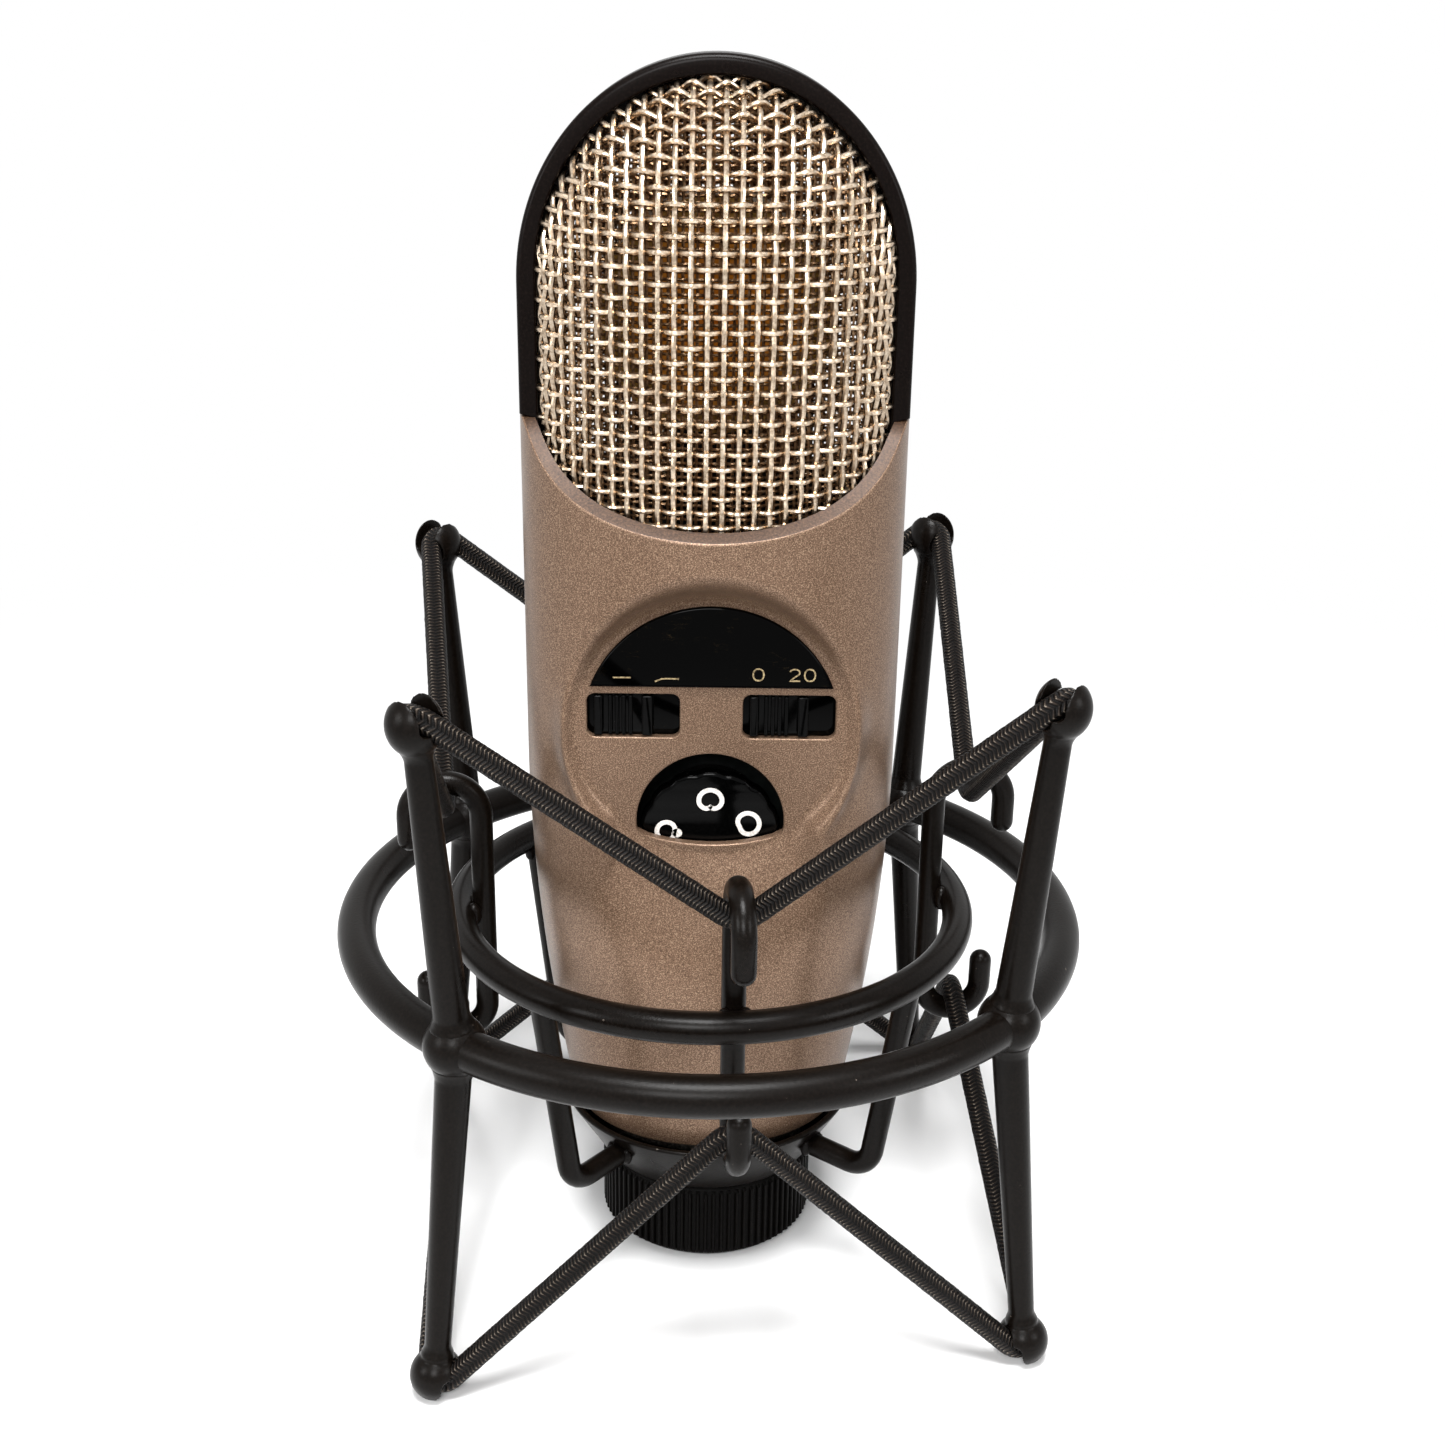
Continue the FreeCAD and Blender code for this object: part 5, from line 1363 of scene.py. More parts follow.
# ---- Microphone body ----
def flat(name: str, outlines: Sequence[Sequence[Array]], front: float, thickness: float,
         edge: float, steps: int = 2) -> Mesh:
    """Plate that faces the front, with rounded edges round its outline and its holes.

    Args:
        name: Name of the mesh.
        outlines: Closed outlines of x and height; an outline inside another is a hole.
        front: How far the front face is ahead of the axis.
        thickness: Thickness of the plate.
        edge: Radius of its edges.
        steps: Segments of each rounded edge.

    Returns:
        The plate's mesh.
    """
    data = bpy.data.curves.new(name, "CURVE")
    data.dimensions = "2D"
    data.fill_mode = "BOTH"
    data.extrude = (thickness / 2 - edge) * MM
    data.bevel_depth = edge * MM
    data.bevel_resolution = steps
    data.offset = -edge * MM
    for outline in outlines:
        spline = data.splines.new("POLY")
        spline.points.add(len(outline) - 1)
        for point, place in zip(spline.points, outline):
            point.co = (place[0] * MM, place[1] * MM, 0.0, 1.0)
        spline.use_cyclic_u = True
    mesh = baked(placed(name, data))
    middle = (PLACE.axis_y - front + thickness / 2) * MM
    mesh.transform(Matrix(((1, 0, 0, 0), (0, 0, -1, middle), (0, 1, 0, 0), (0, 0, 0, 1))))
    mesh.materials.clear()
    return tidy(mesh, 30.0, 2e-6)


def smooth_least(first: float, second: float, blend: float) -> float:
    """The lesser of two numbers, with a rounded change from one to the other."""
    near = max(blend - abs(first - second), 0.0) / blend
    return min(first, second) - near * near * blend / 4


def soft_step(value: float, start: float, end: float) -> float:
    """Nought at the start, one at the end, and smooth between them."""
    share = min(max((value - start) / (end - start), 0.0), 1.0)
    return share * share * (3 - 2 * share)


def fillet(before: Array, corner: Array, after: Array, size: float,
           steps: int = 3) -> list[Array]:
    """Round a small corner between two neighbours.

    Args:
        before: Point before the corner.
        corner: The corner.
        after: Point after it.
        size: How far from the corner the round starts.
        steps: Segments of the round.

    Returns:
        Points of the round.
    """
    start = corner + unit(before - corner) * size
    end = corner + unit(after - corner) * size
    return [start * (1 - share) ** 2 + corner * 2 * share * (1 - share) + end * share ** 2
            for share in np.linspace(0.0, 1.0, steps + 1)]


@dataclass
class Housing:
    """Two lacquered half shells, the front one with its round control recess."""

    bottom: float = 24.3
    taper_top: float = 84.0
    top: float = 136.7
    half_width: float = 28.4
    half_depth: float = 21.0
    width_taper: float = 6.4
    depth_taper: float = 0.6
    taper_power: float = 1.9
    wall: float = 1.8
    mouth_radius: float = 58.0
    mouth_ahead: float = 52.1
    mouth_height: float = 171.5
    horn_round: float = 3.0
    recess_height: float = 92.6
    recess_radius: float = 19.12
    recess_spread: float = 0.9
    recess_floor: float = 14.0
    recess_bend: float = 1.2
    recess_slope: float = 1.9
    chin_slope: float = 0.35
    chin_margin: float = 1.2
    chin_edge: Pair = (radians(54.0), radians(32.0))
    sill_edge: Pair = (radians(48.0), radians(36.0))
    rim_blend: Pair = (0.8, 3.2)
    swell: Triple = (21.7, 1.6, 1.7)
    floor_wall: float = 1.6
    floor_overlap: float = 0.9
    edge: float = 0.32
    slot_offset: float = 11.5
    slot_height: float = 94.4
    slot_long: float = 13.7
    slot_tall: float = 6.8
    slot_corner: float = 1.2
    window_height: float = 77.3
    window_radius: float = 11.1
    window_corner: float = 75.6
    window_sill: float = 73.6

    def half_axes(self, height: float) -> Pair:
        """Half width and half depth of the body at a height."""
        share = (self.taper_top - height) / (self.taper_top - self.bottom)
        shrink = min(max(share, 0.0), 1.0) ** self.taper_power
        return (self.half_width - self.width_taper * shrink,
                self.half_depth - self.depth_taper * shrink)

    def surface(self, angle: float, height: float, inset: float = 0.0) -> Array:
        """Point of the front surface; angle 0 is the middle of the front."""
        width, depth = self.half_axes(height)
        return np.array(((width - inset) * sin(angle), -(depth - inset) * cos(angle), height))

    def rim(self, angle: float, inset: float = 0.0) -> Array:
        """Point of the upper edge, where the grille's mouth cuts the body."""
        y = -(self.half_depth - inset) * cos(angle)
        drop = sqrt(self.mouth_radius ** 2 - (y + self.mouth_ahead) ** 2)
        height = smooth_least(self.top, self.mouth_height - drop, self.horn_round)
        return self.surface(angle, height, inset)

    def foot(self, way: float) -> Pair:
        """Radius where the recess's floor ends along a ray, and how steep its wall gets.

        Under the knob's window the wall lies down into the body's front.
        """
        down = abs((way + 1.5 * pi) % (2 * pi) - pi)
        chin = soft_step(down, *self.chin_edge)
        sill = soft_step(down, *self.sill_edge)
        return (self.recess_radius + self.recess_spread * cos(way) ** 4
                + self.chin_margin * sill,
                self.recess_slope + (self.chin_slope - self.recess_slope) * chin)

    def scooped(self, x: float, height: float, depth: float) -> float:
        """Depth of the front surface once the recess is pressed into it.

        Args:
            x: Distance from the middle plane.
            height: Height above the table.
            depth: How far the plain surface stands ahead of the axis.

        Returns:
            How far the finished surface stands ahead of the axis.
        """
        rise = height - self.recess_height
        way = atan2(rise, x)
        start, slope = self.foot(way)
        away = hypot(x, rise) - start
        bent = min(max(away, 0.0), slope * self.recess_bend)
        level = (self.recess_floor - 0.02 + 0.05 * soft_step(away, -0.3, 0.3)
                 + bent ** 2 / (2 * self.recess_bend) + slope * max(away - bent, 0.0))
        low, high = self.rim_blend
        radius, width, size = self.swell
        side = soft_step(-sin(way), -0.5, 0.0) * soft_step(abs(cos(way)), 0.6, 0.95)
        depth += size * side * exp(-((away + start - radius) / width) ** 2)
        return smooth_least(depth, level, low + (high - low) * abs(sin(way)))

    def border(self) -> list[tuple[float, float, bool]]:
        """Outline of the front half: angle, height and whether it is the grille's mouth."""
        quarter = pi / 2
        result = [(quarter * share, self.bottom, False) for share in np.linspace(-1, 1, 97)[:-1]]
        side_top = float(self.rim(quarter)[2])
        result += [(quarter, height, False)
                   for height in np.linspace(self.bottom, side_top, 71)[:-1]]
        shares = np.sin(np.linspace(quarter, -quarter, 181)[:-1])
        result += [(quarter * share, float(self.rim(quarter * share)[2]), True)
                   for share in shares]
        result += [(-quarter, height, False)
                   for height in np.linspace(side_top, self.bottom, 71)[:-1]]
        return result

    def column(self, angle: float, height: float, mouth: bool) -> tuple[list[Array], int]:
        """Profile of the front half along one ray, as a closed loop round the wall.

        Args:
            angle: Angle of the ray's end on the border.
            height: Height of that end.
            mouth: Whether it lies on the grille's mouth.

        Returns:
            The loop's points and the index where its rim starts.
        """
        way = atan2(height - self.recess_height, self.half_width * angle)
        start = self.foot(way)[0] - 0.3
        level = self.recess_height + start * sin(way)
        first = asin(start * cos(way) / self.half_axes(level)[0])
        loop, back = [], []
        for step, share in enumerate(np.linspace(0, 1, 64)[:-1] ** 1.6):
            turn, rise = first + (angle - first) * share, level + (height - level) * share
            point, behind = self.surface(turn, rise), self.surface(turn, rise, self.wall)
            behind[0] += (point[0] - behind[0]) * max(1 - 4 * share, 0.0)
            shift = -point[1] - self.scooped(point[0], rise, -point[1])
            point[1] += shift
            behind[1] += shift
            loop.append(point)
            if step % 3 == 0:
                back.append(behind)
        outer = self.surface(angle, height)
        inner = self.rim(angle, self.wall) if mouth else self.surface(angle, height, self.wall)
        rim_start = len(loop)
        loop += fillet(loop[-1], outer, inner, self.edge, 4) + [inner]
        return loop + back[::-1], rim_start

    def front(self) -> None:
        """Front shell: a wall between the recess and the border of its half."""
        border = self.border()
        columns = [self.column(*item) for item in border]
        rim_start = columns[0][1]
        points = np.array([column[0] for column in columns])
        # Faces of the lip take the darker finish, painted shade where the cloth meets the shell.
        lip = np.isin(np.arange(points.shape[1]), rim_start + np.arange(3, 6))
        mouth = np.array([item[2] for item in border])
        form = Form()
        form.grid(points, True, True, np.outer(mouth & np.roll(mouth, -1), lip).astype(int))
        wall = form.mesh("front_wall")
        mesh = joined("front_body", [wall, self.floor()])
        piece("front_body", mesh, [Finishes.SHELL, Finishes.SHADED_LIP], "microphone", ["front_shell"])

    def floor(self) -> Mesh:
        """Flat floor of the recess with its two slots and the knob's window."""
        outline = [face_point(self.foot(way)[0] + self.floor_overlap, way, self.recess_height)
                   for way in circle(240)]
        holes = [self.slot(side * self.slot_offset) for side in (-1, 1)]
        holes.append(self.window())
        return flat("recess_floor", [outline] + holes, self.recess_floor, self.floor_wall,
                    0.28, 3)

    def slot(self, middle: float) -> list[Array]:
        """Outline of one slider slot."""
        half, tall = self.slot_long / 2, self.slot_tall / 2
        return rectangle(middle - half, middle + half, self.slot_height - tall,
                         self.slot_height + tall, self.slot_corner, 6)

    def window(self) -> list[Array]:
        """Outline of the knob's window: a dome above, a shallow arc below."""
        half = self.window_radius
        dome = [face_point(half, angle, self.window_height) for angle in np.linspace(0, pi, 49)]
        sag = self.window_corner - self.window_sill
        bend = (half ** 2 + sag ** 2) / (2 * sag)
        reach = asin(half / bend)
        arc = [np.array((bend * sin(angle), self.window_sill + bend * (1 - cos(angle))))
               for angle in np.linspace(-reach, reach, 33)]
        return (dome + fillet(dome[-1], arc[0], arc[2], 0.9) + arc[3:-3]
                + fillet(arc[-3], arc[-1], dome[0], 0.9))

    def rear(self) -> None:
        """Rear shell: the same form, plain, and turned half a turn."""
        rows = []
        for angle in np.linspace(-pi / 2, pi / 2, 161):
            top, inner_top = self.rim(angle), self.rim(angle, self.wall)
            low, inner_low = (self.surface(angle, self.bottom, inset)
                              for inset in (0.0, self.wall))
            heights = np.linspace(self.bottom, float(top[2]), 70)[1:-1]
            outer = [self.surface(angle, height) for height in heights]
            inner = [self.surface(angle, self.bottom + (float(inner_top[2]) - self.bottom)
                                  * share, self.wall) for share in (0.75, 0.5, 0.25)]
            rows.append(fillet(inner_low, low, outer[0], self.edge) + outer
                        + fillet(outer[-1], top, inner_top, self.edge) + [inner_top]
                        + inner + [inner_low])
        rim_start = 4 + len(outer)
        form = Form()
        points = np.array(rows) * (-1.0, -1.0, 1.0)
        # Faces of the lip take the darker finish, painted shade where the cloth meets the shell.
        lip = np.isin(np.arange(points.shape[1]), rim_start + np.arange(3, 5))
        form.grid(points, False, True, lip.astype(int), True)
        piece("rear_body", form.mesh("rear_body"), [Finishes.SHELL, Finishes.SHADED_LIP],
              "microphone", ["rear_shell"])

    def build(self) -> None:
        """Make both shells."""
        self.front()
        self.rear()


# ---- Head ----
@dataclass
class Head:
    """Arched band and the wire cloths on both sides of it."""

    band_outer: Triple = (28.2, 30.9, 155.5)
    band_inner: Triple = (25.4, 27.0, 156.5)
    band_half: float = 4.5
    rib_half: float = 0.6
    rib_depth: float = 1.2
    tongue: float = 10.0
    dome: Triple = (26.15, 18.9, 27.65)
    spring: float = 156.5
    outer_inset: float = 0.8
    outer_pitch: Pair = (2.25, 2.08)
    outer_upright: float = 0.43
    outer_level: float = 0.38
    fine_inset: float = 1.93
    fine_pitch: Pair = (1.0, 1.0)
    fine_wire: float = 0.23
    tuck: float = 2.4
    seam: float = 0.6
    cloth_foot: float = 118.0
    first_level: float = 120.0
    bent_run: float = 40.0
    level_run: float = 90.0
    deck_size: Triple = (26.6, 19.2, 15.0)
    deck_top: float = 119.5
    deck_thickness: float = 2.0

    def band(self, housing: Housing) -> None:
        """Band swept over the head, with its legs inside the shells."""
        stations = [*np.linspace(housing.top - self.tongue, housing.top - 0.3, 5),
                    *np.linspace(housing.top + 0.25, self.band_outer[2], 8)[:-1]]
        rows = [self.section(-1, height, housing) for height in stations]
        rows += [self.arch_section(angle) for angle in np.linspace(-pi / 2, pi / 2, 97)]
        rows += [self.section(1, height, housing) for height in reversed(stations)]
        form = Form()
        form.grid(np.array(rows), False, True, capped=True)
        piece("arched_band", form.mesh("arched_band"), [Finishes.BAND], "microphone",
              ["head_band"])

    def outline(self) -> list[Array]:
        """Cross section of the band: share from inside to outside, and depth.

        A rib stands inwards between the two cloths.
        """
        thick = self.band_outer[0] - self.band_inner[0]
        half, rib, deep = self.band_half, self.rib_half, self.rib_depth
        corners = rounded([(0.0, -half, 0.45), (thick, -half, 0.95), (thick, half, 0.95),
                           (0.0, half, 0.45), (0.0, rib, 0.0), (-deep, rib, 0.2),
                           (-deep, -rib, 0.2), (0.0, -rib, 0.0)], 5)
        return [np.array((point[0] / thick, point[1])) for point in corners]

    def section(self, side: int, height: float, housing: Housing) -> list[Array]:
        """Section of a leg; inside the shells it is narrower.

        Args:
            side: -1 for the left leg, 1 for the right.
            height: Height of the section.
            housing: Shells that hold the leg.

        Returns:
            Points of the section.
        """
        result = []
        for share, depth in self.outline():
            outer = self.band_outer[0]
            if height < housing.top:
                room = (depth / (housing.half_depth - housing.wall)) ** 2
                outer = (housing.half_width - housing.wall - 0.1) * sqrt(1 - room)
            width = self.band_inner[0] + (outer - self.band_inner[0]) * share
            result.append(np.array((side * width, depth, height)))
        return result

    def arch_section(self, angle: float) -> list[Array]:
        """Section of the arch at an angle from the top.

        Args:
            angle: The angle in radians.

        Returns:
            Points of the section.
        """
        inner = np.array((self.band_inner[0] * sin(angle), 0.0,
                          self.band_inner[2] + self.band_inner[1] * cos(angle)))
        outer = np.array((self.band_outer[0] * sin(angle), 0.0,
                          self.band_outer[2] + self.band_outer[1] * cos(angle)))
        return [inner + (outer - inner) * share + np.array((0.0, depth, 0.0))
                for share, depth in self.outline()]

    def front_y(self, x: float, height: float, inset: float) -> float | None:
        """How far the cloth stands ahead of the axis.

        Args:
            x: Distance from the middle plane.
            height: Height above the table.
            inset: Middle of the cloth inside the dome.

        Returns:
            The distance, or None off the surface.
        """
        rise = max(0.0, height - self.spring) / (self.dome[2] - inset)
        share = 1 - (x / (self.dome[0] - inset)) ** 2 - rise * rise
        return (self.dome[1] - inset) * sqrt(share) if share > 0 else None

    def normal(self, x: float, y: float, height: float, inset: float) -> Array:
        """Outward normal of the cloth's surface.

        Args:
            x: Distance from the middle plane.
            y: Distance from the axis, negative ahead.
            height: Height above the table.
            inset: Middle of the cloth inside the dome.

        Returns:
            Vector of length one.
        """
        rise = max(0.0, height - self.spring)
        return unit(np.array((x / (self.dome[0] - inset) ** 2, y / (self.dome[1] - inset) ** 2,
                              rise / (self.dome[2] - inset) ** 2)))

    def spaced(self, reach: float, inset: float, start: float, pitch: float) -> list[float]:
        """Offsets of wires that are spaced evenly round the dome.

        Args:
            reach: Half axis of the cloth on which the offsets are measured.
            inset: Middle of the cloth inside the dome.
            start: Length along the cloth from the middle to the first wire.
            pitch: Length along the cloth between wires.

        Returns:
            Offsets from the middle, up to the seam.
        """
        depth = self.dome[1] - inset
        angles = np.linspace(0.0, pi / 2, 721)
        arc = np.concatenate([[0.0], np.cumsum(np.hypot(
            np.diff(reach * np.sin(angles)), np.diff(depth * np.cos(angles))))])
        edge = np.interp(acos(1.5 * self.seam / depth), angles, arc)
        return [float(reach * sin(np.interp(place, arc, angles)))
                for place in np.arange(start, edge, pitch)]

    def wires(self, housing: Housing, inset: float, pitch: Pair, lift: Pair,
              step: float) -> tuple[list[Array], list[Array]]:
        """Paths of the woven wires of the front cloth.

        Args:
            housing: Body whose mouth the cloth reaches into.
            inset: Middle of the cloth inside the dome.
            pitch: Distance between upright wires, and between level ones.
            lift: Amplitude of the weave in the upright and the level wires.
            step: Distance between the points of a path.

        Returns:
            Paths of the upright wires and of the level ones.
        """
        across, along = pitch
        widths = self.spaced(self.dome[0] - inset, inset, across / 2, across)
        widths = [-width for width in reversed(widths)] + widths
        heights = [self.first_level + along * row for row in
                   range(int((self.spring - self.first_level) / along) + 1)]
        heights += [self.spring + rise for rise in
                    self.spaced(self.dome[2] - inset, inset,
                                heights[-1] + along - self.spring, along)]
        row_of = (np.array(heights), np.arange(len(heights)))
        column_of = (np.array(widths), np.arange(len(widths)))
        mouth = housing.mouth_radius + self.tuck

        def woven(places: Iterable[Pair], swing: float, axis: int,
                  crossing: tuple[Array, Array], number: int) -> Array:
            """Points of one wire above the mouth, lifted over and under those it crosses.

            Args:
                places: Widths and heights along the wire.
                swing: Amplitude of the weave.
                axis: Which of the two runs along the wire.
                crossing: Places and numbers of the wires that it crosses.
                number: The wire's own number.

            Returns:
                The points.
            """
            points = []
            for x, height in places:
                y = self.front_y(x, height, inset)
                if y is None or y < self.seam:
                    continue
                room = mouth ** 2 - (housing.mouth_ahead - y) ** 2
                if height <= housing.mouth_height - sqrt(max(room, 0.0)):
                    continue
                turn = np.interp((x, height)[axis], *crossing) + number
                points.append(np.array((x, -y, height)) + self.normal(x, -y, height, inset)
                              * swing * cos(pi * turn))
            return np.array(points)

        uprights, levels = [], []
        for number, x in enumerate(widths):
            crown = (self.dome[2] - inset) * sqrt(
                max(0.0, 1 - (x / (self.dome[0] - inset)) ** 2))
            bent = np.sin(np.linspace(0, pi / 2, int(self.bent_run / step)))
            places = [(x, float(height)) for height in
                      (*np.arange(self.cloth_foot, self.spring, step),
                       *(self.spring + crown * bent))]
            points = woven(places, lift[0], 1, row_of, number)
            if len(points) > 3:
                uprights.append(even(points, step, False))
        for number, height in enumerate(heights):
            rise = max(0.0, height - self.spring) / (self.dome[2] - inset)
            width = (self.dome[0] - inset) * sqrt(1 - rise * rise)
            places = [(width * sin(angle), height) for angle in
                      np.linspace(-pi / 2, pi / 2, int(self.level_run / step))]
            points = woven(places, -lift[1], 0, column_of, number)
            if len(points) > 3:
                levels.append(even(points, step * 0.8, False))
        return uprights, levels

    def cloths(self, housing: Housing) -> None:
        """Coarse and fine cloth on both sides."""
        layers = (("grille", self.outer_inset, self.outer_pitch, (0.17, 0.6),
                   self.outer_upright, self.outer_level, 8, 0.5, Finishes.WIRE),
                  ("liner", self.fine_inset, self.fine_pitch, (0.09, 0.16),
                   self.fine_wire, self.fine_wire, 4, 0.42, Finishes.FINE_WIRE))
        for layer, inset, pitch, lift, upright, level, sides, step, finish in layers:
            found = self.wires(housing, inset, pitch, lift, step)
            for side, turn in (("front", 1.0), ("rear", -1.0)):
                meshes = []
                for paths, radius in zip(found, (upright, level)):
                    moved = [(path * (turn, turn, 1.0) + (0.0, PLACE.axis_y, 0.0), None, False)
                             for path in paths]
                    meshes.append(WEAVER.rods(layer + "_wires", moved, radius, sides, finish))
                mesh = joined(f"{side}_{layer}_cloth", meshes)
                mesh.shade_smooth()
                piece(f"{side}_{layer}_cloth", mesh, [finish], "microphone", [f"{side}_{layer}"])

    def deck(self) -> None:
        """Oval plate between the body and the head, set back behind the recess."""
        form = Form()
        rows = []
        width, rear, front = self.deck_size
        low, high = self.deck_top - self.deck_thickness, self.deck_top
        for share, height in ((0.985, low), (1.0, low + 0.3), (1.0, high - 0.3), (0.985, high)):
            rows.append([(share * width * cos(angle), share * sin(angle)
                          * (rear if sin(angle) > 0 else front), height)
                         for angle in circle(96)])
        form.grid(np.array(rows), False, True, capped=True)
        piece("head_floor", form.mesh("head_floor"), [Finishes.NYLON], "microphone",
              ["head_deck"])

    def build(self, housing: Housing) -> None:
        """Make the head."""
        self.band(housing)
        self.cloths(housing)
        self.deck()


# ---- Controls ----
def stroke(name: str, line: Sequence[Array], width: float, front: float, closed: bool) -> Mesh:
    """Printed line of constant width on a flat face.

    Args:
        name: Name of the mesh.
        line: Points of x and height along its middle.
        width: Width of the line.
        front: How far the face is ahead of the axis.
        closed: Whether the line joins up.

    Returns:
        A thin raised ribbon.
    """
    points = np.array(line, float)
    around = np.roll(points, -1, 0) - np.roll(points, 1, 0)
    ways = unit(around if closed else np.gradient(points, axis=0))
    sides = np.stack((-ways[:, 1], ways[:, 0]), axis=1) * width / 2
    rows = [np.insert(points + sides * share, 1, -front - depth, axis=1)
            for depth, share in ((0.0, 1.0), (0.04, 1.0), (0.04, -1.0), (0.0, -1.0))]
    form = Form()
    index = form.grid(np.array(rows), True, closed)
    if not closed:
        form.cap(index[:, 0])
        form.cap(index[:, -1])
    return form.mesh(name)


class Pattern(Enum):
    """Pickup patterns: share of the sideways response, and place on the knob in degrees."""

    CARDIOID = (0.5, 90)
    HYPER = (0.32, 171)
    EIGHT = (0.0, 240)
    OMNI = (1.0, 306)
    WIDE = (0.62, 23)


@dataclass
class Controls:
    """Badge, slider caps and the pattern knob, with their printed marks."""

    floor: float = 14.0
    badge_height: float = 92.5
    badge_radius: float = 19.05
    badge_bottom: float = 99.15
    badge_thickness: float = 0.9
    slot_height: float = 94.4
    slider_face: float = 13.0
    slider_long: float = 8.7
    slider_tall: float = 6.3
    slider_left: Pair = (-17.35, 5.65)
    slider_ribs: tuple[Triple, ...] = (
        (0.0, 1.3, 1.0), (2.1, 0.65, 0.8), (3.1, 0.65, 0.8), (4.1, 0.65, 0.8),
        (5.1, 0.65, 0.8), (7.1, 1.6, 1.0))
    backing: tuple[float, float, float, float] = (19.35, 90.0, 98.8, 12.4)
    knob_height: float = 73.9
    knob_radius: float = 10.9
    knob_face: float = 12.1
    knob_thickness: float = 2.6
    knob_notches: int = 15
    notch_depth: float = 0.28
    icon_reach: float = 6.4
    icon_size: float = 1.75
    icon_line: float = 0.72
    mark_size: Pair = (1.55, 1.8)
    mark_height: float = 100.45
    mark_line: float = 0.22

    def badge(self) -> None:
        """Gloss badge with its marks; the middle is left bare."""
        half = acos((self.badge_bottom - self.badge_height) / self.badge_radius)
        outline = [face_point(self.badge_radius, pi / 2 - angle, self.badge_height)
                   for angle in np.linspace(-half, half, 97)]
        face = self.floor + self.badge_thickness
        plate = flat("badge_face", [outline], face, self.badge_thickness, 0.4, 4)
        piece("gloss_badge", plate, [Finishes.GLOSS], "microphone", ["badge_plate"])
        lines = {"flat": [(-14.4, 0.25), (-13.1, 0.25), (-11.8, 0.25)],
                 "step": [(-8.3, -0.3), (-7.8, -0.1), (-7.3, 0.1), (-6.6, 0.15), (-4.8, 0.15)],
                 "none": self.nought(6.8), "two": self.two(12.1), "zero": self.nought(14.3)}
        marks = [stroke(name + "_mark", [np.array((x, self.mark_height + z))
                                         for x, z in line], self.mark_line, face,
                        len(line) > 30) for name, line in lines.items()]
        piece("badge_marks", joined("badge_marks", marks), [Finishes.GOLD_INK], "microphone")

    def nought(self, x: float) -> list[Pair]:
        """Line of a wide figure nought, centred on x."""
        wide, tall = self.mark_size
        return [(x + wide / 2 * copysign(abs(cos(angle)) ** 0.8, cos(angle)),
                 tall / 2 + tall / 2 * sin(angle)) for angle in circle(40)]

    def two(self, x: float) -> list[Pair]:
        """Line of a wide figure two, centred on x."""
        wide, tall = self.mark_size
        turn = [(x + wide * 0.46 * cos(angle), tall * (0.72 + 0.28 * sin(angle)))
                for angle in np.radians(np.linspace(165, -35, 14))]
        return turn + [(x - wide * 0.3, tall * 0.12), (x - wide / 2, 0.0), (x, 0.0),
                       (x + wide / 2, 0.0)]

    def sliders(self) -> None:
        """Two ribbed caps in the slots, and the black plate behind them."""
        half, low, high, front = self.backing
        outline = rectangle(-half, half, low, high, 0.0, 1)
        plate = flat("slot_backing", [outline], front, 1.0, 0.1)
        piece("slot_backing", plate, [Finishes.GLOSS], "microphone", ["slot_plate"])
        for name, left in zip(("low_cut", "pad"), self.slider_left):
            meshes = [self.block(left, left + self.slider_long, self.slider_face, 1.1, 0.7,
                                 0.15)]
            meshes += [self.block(left + start, left + start + width,
                                  self.slider_face + proud, 1.3, 0.3, 0.3)
                       for start, width, proud in self.slider_ribs]
            piece(name + "_cap", joined(name + "_cap", meshes), [Finishes.KNOB], name,
                  [name + "_slider"])

    def block(self, left: float, right: float, face: float, thickness: float,
              corner: float, edge: float) -> Mesh:
        """Small rounded block of a slider.

        Args:
            left: Its left side.
            right: Its right side.
            face: How far its face is ahead of the axis.
            thickness: Its thickness.
            corner: Radius of its corners.
            edge: Radius of its edges.

        Returns:
            The block.
        """
        half = self.slider_tall / 2
        outline = rectangle(left, right, self.slot_height - half, self.slot_height + half,
                            corner, 5)
        return flat("slider_block", [outline], face, thickness, edge)

    def knob(self) -> None:
        """Scalloped disc with a bevelled edge."""
        outline = []
        for angle in circle(360) + radians(0.5):
            wave = (cos(self.knob_notches * (angle - pi / 2)) + 1) / 2
            radius = self.knob_radius - self.notch_depth * (1 - wave) ** 3
            outline.append(face_point(radius, angle, self.knob_height))
        disc = flat("knob_disc", [outline], self.knob_face, self.knob_thickness, 0.8, 4)
        piece("scalloped_knob", disc, [Finishes.KNOB], "pattern_dial", ["pattern_knob"])
        marks = [self.icon(*pattern.value) for pattern in Pattern]
        piece("knob_marks", joined("knob_marks", marks), [Finishes.WHITE_INK], "pattern_dial")

    def icon(self, even_share: float, place: float) -> Mesh:
        """Outline of one pickup pattern, upright when its place is at the top.

        Args:
            even_share: Share of the response that is the same all round.
            place: Place on the knob in degrees.

        Returns:
            The printed outline.
        """
        way = radians(place)
        angles = circle(72)
        reach = np.abs(even_share + (1 - even_share) * np.cos(angles))
        across, up = reach * np.sin(angles), reach * np.cos(angles)
        size = max(float(np.ptp(across)), float(np.ptp(up))) / 2
        middle = (up.max() + up.min()) / 2
        across, up = across / size * self.icon_size, (up - middle) / size * self.icon_size
        spin = np.array(((sin(way), -cos(way)), (cos(way), sin(way))))
        centre = face_point(self.icon_reach, way, self.knob_height)
        line = centre + np.stack((across, up), axis=1) @ spin
        return stroke("pattern_mark", line, self.icon_line, self.knob_face, True)

    def build(self) -> None:
        """Make all the controls."""
        self.badge()
        self.sliders()
        self.knob()


